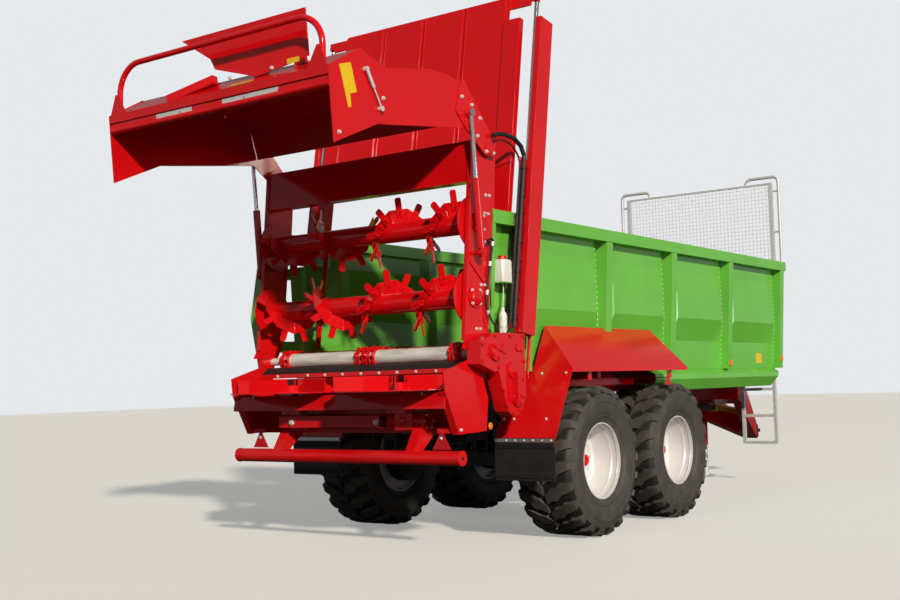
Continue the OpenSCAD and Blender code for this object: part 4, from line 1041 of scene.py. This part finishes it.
class SPREADER_OT_side_gear(bpy.types.Operator):
    """Add the bearings, the gearbox bosses, the brace, the grease pump and the hoses of the right side"""

    bl_idname = "spreader.side_gear"
    bl_label = "Side gear"

    def execute(self, context):
        self.bearings()
        self.gearbox()
        self.pump()
        self.hoses()
        return {"FINISHED"}

    def bearings(self):
        shape = Shape()
        heads = []
        plate = ((-1.845, 2.538), (-1.865, 2.406), (-1.912, 2.20), (-1.936, 1.893), (-2.008, 1.581))
        for side in SIDES:
            for name in ("beater_upper_spin", "beater_lower_spin"):
                spot = Vector(JOINTS[name]["pos_m"])
                spot.y = side * 1.0122
                shape.turned([(0.0315, 0), (0.062, 0), (0.058, 0.012), (0.045, 0.019), (0.0, 0.021),
                              (0.0, 0.0125), (0.0315, 0.0125)], along_y(spot, side))
                heads += ring_of(along_y(spot, side), 0.066, 0, 4, math.pi / 4, (0, side, 0))
            heads += on_side(side, 1.0, [(x + shift, z) for x, z in plate for shift in (0.012, -0.033)])
        seat("beater_bearings", shape, "frame", "red")
        bolts("frame_bolts", heads, "frame", scale=0.85)
        brace = Shape()
        turn = leaning(at(-2.012, 0, 1.99), math.radians(40))
        brace.twin_boxes((-0.105, 1.0003, -0.018), (0.105, 1.008, 0.018), turn)
        seat("side_braces", brace, "frame", "red")

    def gearbox(self):
        rim = [(-1.625, 1.53), (-1.66, 1.43), (-1.625, 1.35), (-1.645, 1.22), (-1.64, 1.10), (-1.70, 1.005),
               (-1.79, 0.985), (-1.86, 1.045), (-1.90, 1.15), (-1.955, 1.31), (-2.155, 1.355),
               (-2.15, 1.47), (-1.99, 1.53), (-1.80, 1.53)]
        heads = on_side(-1, 1.12, rim)
        for x, z in ((-2.0, CHAIN_Z), (-1.74, 1.09)):
            heads += ring_of(along_y(at(x, -1.14, z), -1), 0.042, 0, 4, 0.4, (0, -1, 0))
        bolts("gearbox_bolts", heads, "frame", "red")
        bosses = Shape()
        for x, z, r, out in ((-1.88, 1.44, 0.038, 0.012), (-1.79, 1.29, 0.062, 0.016),
                             (-1.70, 1.45, 0.032, 0.010)):
            bosses.turned([(0, 0), (r, 0), (r * 0.9, out), (0, out)], along_y(at(x, -1.12, z), -1), 28)
        bosses.tube([at(-1.60, -1.096, 1.25), at(-1.49, -1.062, 1.25)], 0.022)
        seat("gearbox_bosses", bosses, "frame", "red")
        stay = Shape()
        stay.tube([at(-1.362, -1.062, 2.03), at(-1.498, -1.062, 1.235)], 0.026, 14)
        stay.box(at(-1.385, -1.085, 1.99), at(-1.345, -1.040, 2.06))
        seat("slim_stay", stay, "frame", "red")

    def pump(self):
        tank = Shape()
        low, high = at(-1.752, -1.049, 1.9255), at(-1.628, -0.956, 2.088)
        cut = 0.014
        outline = [(low.x + cut, low.y), (high.x - cut, low.y), (high.x, low.y + cut),
                   (high.x, high.y - cut), (high.x - cut, high.y), (low.x + cut, high.y),
                   (low.x, high.y - cut), (low.x, low.y + cut)]
        middle = (low + high) / 2
        rings = []
        for z, s in ((low.z, 0.96), (low.z + 0.008, 1.0), (high.z - 0.02, 1.0), (high.z, 0.88)):
            rings.append([Vector((middle.x + (x - middle.x) * s, middle.y + (y - middle.y) * s, z))
                          for x, y in outline])
        tank.rings(rings)
        bottle = Matrix.Translation(at(-1.70, -1.0, 0))
        tank.turned([(0, 1.5602), (0.027, 1.5602), (0.030, 1.566), (0.030, 1.68), (0.026, 1.70),
                     (0.014, 1.715), (0.014, 1.74), (0, 1.74)], bottle, 28)
        seat("grease_tank", tank, "frame", "white", "lubricator")
        cap = Shape()
        ridges = [(0.031 + 0.0012 * (k % 2), math.pi * k / 24) for k in range(48)]
        cap.rings([[at(-1.69 + r * s * math.cos(t), -1.002 + r * s * math.sin(t), z) for r, t in ridges]
                   for z, s in ((2.0885, 1), (2.112, 1), (2.118, 0.9))])
        seat("grease_cap", cap, "frame", "red", "lubricator")
        band = Shape()
        for z in (1.60, 1.66):
            band.washer(0.0302, 0.0325, z, z + 0.012, bottle, 28)
        seat("bottle_bands", band, "frame", "zinc")

    def hoses(self):
        down = math.tan(DOOR_LEAN)

        def carrier(z, back=0.0, y=-1.0533):
            return at(-1.511 + (z - 2.494) * down + 0.02 - back, y, z)

        clamps = [(carrier(z), (down, 0, 1)) for z in (2.784, 2.572, 2.443, 2.228, 2.005, 1.808, 1.663)]
        repeat("hose_clamps", clamps, ring_band(), (0.036, 0.036, 0.016), "frame", "rubber")
        shape = Shape()
        shape.tube(soft_path([at(-1.92, -1.03, 2.205), at(-1.86, -1.03, 2.225), at(-1.838, -1.022, 2.19),
                              at(-1.868, -1.018, 2.06), at(-1.905, -1.016, 1.90), at(-1.925, -1.014, 1.77),
                              at(-1.905, -1.03, 1.66), at(-1.84, -1.05, 1.575),
                              at(-1.80, -1.055, 1.551)]), 0.015)
        shape.tube(soft_path([at(-1.905, -1.010, 2.17), at(-1.865, -1.012, 2.20), at(-1.85, -1.010, 2.13),
                              at(-1.892, -1.010, 1.93), at(-1.91, -1.010, 1.78), at(-1.885, -1.018, 1.66),
                              at(-1.82, -1.03, 1.585), at(-1.77, -1.04, 1.551)]), 0.012)
        for shift, y in ((0.034, -1.046), (0.050, -1.050)):
            points = [at(-1.83, y, 2.93), at(-1.70, y, 2.955), at(-1.585, y, 2.93), at(-1.50, y, 2.86)]
            points += [carrier(z, shift, y) for z in (2.75, 2.5, 2.25, 2.0, 1.8, 1.65)]
            points += [at(-1.74, -1.06, 1.5505)]
            shape.tube(soft_path(points), 0.011)
        seat("thin_hoses", shape, "frame", "rubber")
        line = Shape()
        line.tube(soft_path([at(-1.69, -1.0, 1.9255), at(-1.688, -1.003, 1.85),
                             at(-1.70, -1.0, 1.739)]), 0.008)
        seat("grease_line", line, "frame", "white")
        fittings = [(at(-1.838, -1.022, 2.19), (0.2, 0, 1)), (at(-1.872, -1.018, 2.045), (0.2, 0, 1)),
                    (at(-1.915, -1.015, 1.84), (0.2, 0, 1)), (at(-1.915, -1.02, 1.70), (0.3, 0, -1)),
                    (at(-1.82, -1.052, 1.562), (0.6, 0, -1))]
        repeat("hose_fittings", fittings, ring_band(), (0.019, 0.019, 0.034), "frame", "zinc")


class SPREADER_OT_rear(bpy.types.Operator):
    """Add the table's bolts and plates, the shaft's guard and coupling, the door's folds and bumper ends"""

    bl_idname = "spreader.rear"
    bl_label = "Rear trim"

    def execute(self, context):
        row = [(at(-2.170, y, 1.2965), (-1, 0, 0))
               for y in (0.79, 0.474, 0.302, 0.128, -0.051, -0.221, -0.388, -0.559, -0.736, -0.90)]
        row += [(at(-2.42, y, 1.143), (-1, 0, 0.2)) for y in (-0.8, 0.8)]
        for side in SIDES:
            row.append((at(-2.296, side * 0.86, 0.835), (-1, 0, 0)))
            row += on_side(side, 1.008, ((-2.05, 1.41), (-2.12, 1.41), (-2.27, 0.89)))
        bolts("table_bolts", row, "frame", scale=0.8)
        pins = [(at(-2.330, y, 0.948), (-1, 0, 0)) for y in (0.496, -0.315)]
        bolts("guard_pins", pins, "frame", scale=1.5)
        self.coupling()
        self.door_folds()
        self.plates()
        self.bumper_ends()
        return {"FINISHED"}

    def plates(self):
        """Plates behind the table, and the guard and the rod of the cross shaft."""
        plates = Shape()
        for inner, low, outer, high in ((0.503, 1.085, 0.862, 1.219), (0.503, 1.2805, 0.862, 1.338),
                                        (0.866, 1.06, 1.17, 1.278)):
            plates.twin_boxes(at(-1.792, inner, low), at(-1.786, outer, high))
        plates.box(at(-1.792, -0.40, 1.10), at(-1.786, 0.40, 1.338))
        seat("chute_plates", plates, "frame", "red")
        guard = Shape()
        for low, front, high in ((0.905, -2.325, 1.000), (0.995, -2.265, 1.000), (0.905, -2.265, 0.910)):
            guard.box(at(-2.330, -0.344, low), at(front, 0.63, high))
        for y in (-0.30, 0.57):
            guard.box(at(-2.325, y, 0.940), at(-2.048, y + 0.03, 0.970))
        seat("shaft_guard", guard, "frame", "red", "cross_shaft")
        rod = Shape()
        rod.washer(0, 0.03, -0.42, 0.42, along_y(CROSS_SHAFT), 28)
        seat("cross_rod", rod, "frame", "black")

    def bumper_ends(self):
        """Turned rims in the bumper's ends, and a thin black disc in each as the painted shade of its hole.
        """
        hole_shade = Shape()
        ends = Shape()
        for side in SIDES:
            end = along_y(at(-2.328, side * 1.058, 0.703), side)
            # A thin black disc: painted shade inside the bumper's hole
            hole_shade.washer(0, 0.014, 0, 0.0006, end, 20)
            ends.washer(0.0502, 0.053, -0.012, -0.002, end, 40)
        seat("bumper_holes", hole_shade, "frame", "rubber")
        seat("bumper_rims", ends, "frame", "red")

    def door_folds(self):
        """Folded edge beside each groove between the door's panels."""
        folds = Shape()
        place = leaning(at(-1.511, 0, 2.494), DOOR_LEAN)
        low = (2.805 - 2.494) / math.cos(DOOR_LEAN) + 0.010
        for groove in (-0.41, 0.0, 0.41):
            folds.box((0.004, groove - 0.028, low), (0.0245, groove - 0.020, low + 1.385), place)
        seat("door_folds", folds, "door", "red")

    def coupling(self):
        shape = Shape()
        place = along_y(CROSS_SHAFT, -1)
        shape.turned([(0.0302, 0.353), (0.062, 0.353), (0.062, 0.378), (0.044, 0.385), (0.044, 0.470),
                      (0.060, 0.478), (0.060, 0.520), (0.042, 0.528), (0.042, 0.650), (0.064, 0.658),
                      (0.064, 0.690), (0.0302, 0.690)], place, 36)
        seat("shaft_coupling", shape, "frame", "red")
        heads = []
        for out, way in ((0.353, 1), (0.690, -1)):
            heads += ring_of(place, 0.052, out, 6, 0, (0, way, 0))
        bolts("coupling_bolts", heads, "frame", scale=0.6)


class SPREADER_OT_front(bpy.types.Operator):
    """Add the jack's crank, the ladder's treads and the drawbar's fixings"""

    bl_idname = "spreader.front"
    bl_label = "Front trim"

    def execute(self, context):
        head = Shape()
        spot = at(4.75, 0.365, 1.02)
        head.turned([(0, 0.0002), (0.047, 0.0002), (0.047, 0.02), (0.030, 0.036), (0, 0.040)],
                    Matrix.Translation(spot), 28)
        seat("jack_head", head, "frame", "red")
        crank = Shape()
        crank.tube([spot + Vector(v) for v in ((0, 0.02, 0.022), (0, 0.085, 0.022),
                                               (0.0, 0.085, -0.14))], 0.014)
        crank.tube([spot + Vector(v) for v in ((0, 0.085, -0.14), (0, 0.175, -0.14))], 0.014)
        seat("jack_crank", crank, "frame", "zinc")
        grip = Shape()
        grip.tube([spot + Vector(v) for v in ((0, 0.092, -0.14), (0, 0.172, -0.14))], 0.026, 14)
        seat("jack_grip", grip, "frame", "rubber")
        heads = [(at(5.317, y, z), (1, 0, 0)) for y in (-0.06, 0.06) for z in (0.46, 0.58)]
        heads += [(at(3.993 + 0.045, y, 1.2), (1, 0, 0)) for y in (-0.79, -0.46)]
        heads += [(at(4.70 + dx, 0.2, 0.79), (0, 0, 1)) for dx in (0.0, 0.1)]
        bolts("drawbar_bolts", heads, "frame")
        treads = Shape()
        for z in (0.450, 0.750, 1.045):
            for k in range(9):
                y = -0.785 + 0.04 * k
                treads.box(at(4.042, y, z + 0.0148), at(4.076, y + 0.010, z + 0.019))
        seat("tread_teeth", treads, "frame", "zinc")
        return {"FINISHED"}


class SPREADER_OT_stage(bpy.types.Operator):
    """Set the camera at the photograph's place, and add the floor, the sun and the sky"""

    bl_idname = "spreader.stage"
    bl_label = "Stage"

    def execute(self, context):
        stage = context.scene.spreader_stage
        self.set_camera(context, stage)
        self.set_lamps(context, stage)
        self.set_floor(stage)
        context.scene.view_settings.view_transform = "Standard"
        return {"FINISHED"}

    def set_camera(self, context, stage):
        yaw, pitch, roll = 0.6257976, 0.0699011, -0.0275017
        forward = Vector((math.cos(yaw) * math.cos(pitch), math.sin(yaw) * math.cos(pitch),
                          math.sin(pitch)))
        right = forward.cross(Vector((0, 0, 1))).normalized()
        up = right.cross(forward)
        tilt_right = right * math.cos(roll) + up * math.sin(roll)
        tilt_up = up * math.cos(roll) - right * math.sin(roll)
        lens = bpy.data.cameras.new("camera")
        lens.lens = stage.focal
        lens.sensor_width = 36
        camera = bpy.data.objects.new("camera", lens)
        turn = Matrix((tilt_right, tilt_up, -forward)).transposed().to_4x4()
        camera.matrix_world = Matrix.Translation(at(-8.85582, -5.70559, 1.20757)) @ turn
        link(camera)
        context.scene.camera = camera

    def set_lamps(self, context, stage):
        lamp = bpy.data.lights.new("sun", "SUN")
        lamp.energy = stage.sun
        lamp.angle = math.radians(3)
        lamp.color = linear("#fff3e2")[:3]
        sun = bpy.data.objects.new("sun", lamp)
        to_sun = Vector((-0.58, -0.74, 0.43))
        sun.matrix_world = to_sun.to_track_quat("Z", "Y").to_matrix().to_4x4()
        link(sun)
        panel = bpy.data.lights.new("side_softbox", "AREA")
        panel.shape = "RECTANGLE"
        panel.size, panel.size_y = 7.0, 4.5
        panel.energy = stage.softbox
        box = bpy.data.objects.new("side_softbox", panel)
        turn = Vector((0, -1, 0)).to_track_quat("Z", "Y").to_matrix().to_4x4()
        box.matrix_world = Matrix.Translation(at(1.0, -25.0, 3.2)) @ turn
        link(box)
        world = bpy.data.worlds.new("overcast_sky")
        world.use_nodes = True
        tree = world.node_tree
        tree.nodes.clear()
        rays = add(tree, "ShaderNodeLightPath").outputs
        way = add(tree, "ShaderNodeSeparateXYZ",
                  {"Vector": add(tree, "ShaderNodeTexCoord").outputs["Generated"]})
        glow = spread(tree, way.outputs["Z"], 0.03, 0.36, 1.0, 0.28)
        shine = times(tree, rays["Is Glossy Ray"], 0.12)
        clear = add(tree, "ShaderNodeMath", {0: rays["Is Transmission Ray"], 1: shine}, operation="MAXIMUM")
        seen = add(tree, "ShaderNodeMath", {0: rays["Is Camera Ray"], 1: clear.outputs[0]},
                   operation="MAXIMUM")
        strength = add(tree, "ShaderNodeMix", {"Factor": seen.outputs[0],
                                               "A": times(tree, glow, stage.sky), "B": 1.0})
        backdrop = add(tree, "ShaderNodeBackground",
                       {"Color": linear("#e6e9ec"), "Strength": strength.outputs["Result"]})
        add(tree, "ShaderNodeOutputWorld", {"Surface": backdrop.outputs["Background"]})
        context.scene.world = world

    def set_floor(self, stage):
        mesh = bpy.data.meshes.new("floor_sheet")
        reach = 60
        corners = [(-reach, -reach, 0), (reach, -reach, 0), (reach, reach, 0), (-reach, reach, 0)]
        mesh.from_pydata(corners, [], [(0, 1, 2, 3)])
        floor = bpy.data.objects.new("floor_sheet", mesh)
        link(floor)
        material, tree, _ = new_surface("pale_floor")
        straight = add(tree, "ShaderNodeLightPath").outputs["Is Camera Ray"]
        finish_surface(tree, {
            "Base Color": blend(tree, straight, linear("#35332f"), linear(stage.floor)),
            "Roughness": 0.9,
            "Emission Color": linear(stage.floor),
            "Emission Strength": times(tree, straight, 0.42),
        })
        mesh.materials.append(material)


class SPREADER_PT_panel(bpy.types.Panel):
    """Lists the steps in order"""

    bl_label = "Spreader"
    bl_idname = "SPREADER_PT_panel"
    bl_space_type = "VIEW_3D"
    bl_region_type = "UI"
    bl_category = "Spreader"

    def draw(self, context):
        for step in OPERATORS:
            self.layout.operator(step.bl_idname)


SETTINGS = {"spreader_paint": PaintSettings, "spreader_tyres": TyreSettings,
            "spreader_scraper": ScraperSettings, "spreader_beaters": BeaterSettings,
            "spreader_guard": GuardSettings, "spreader_fasteners": FastenerSettings,
            "spreader_stage": StageSettings,}
OPERATORS = (
    SPREADER_OT_finishes, SPREADER_OT_tyres, SPREADER_OT_hubs, SPREADER_OT_scraper, SPREADER_OT_beaters,
    SPREADER_OT_guard, SPREADER_OT_walls, SPREADER_OT_flaps, SPREADER_OT_hood, SPREADER_OT_side_gear,
    SPREADER_OT_rear, SPREADER_OT_front, SPREADER_OT_stage,
)


def register():
    """Register the settings, the operators and the panel."""
    for cls in (*SETTINGS.values(), *OPERATORS, SPREADER_PT_panel):
        bpy.utils.register_class(cls)
    for name, group in SETTINGS.items():
        setattr(bpy.types.Scene, name, PointerProperty(type=group))


def unregister():
    """Undo register."""
    for name in SETTINGS:
        delattr(bpy.types.Scene, name)
    for cls in reversed((*SETTINGS.values(), *OPERATORS, SPREADER_PT_panel)):
        bpy.utils.unregister_class(cls)


def main():
    register()
    for step in OPERATORS:
        group, name = step.bl_idname.split(".")
        getattr(getattr(bpy.ops, group), name)()


if __name__ == "__main__":
    main()
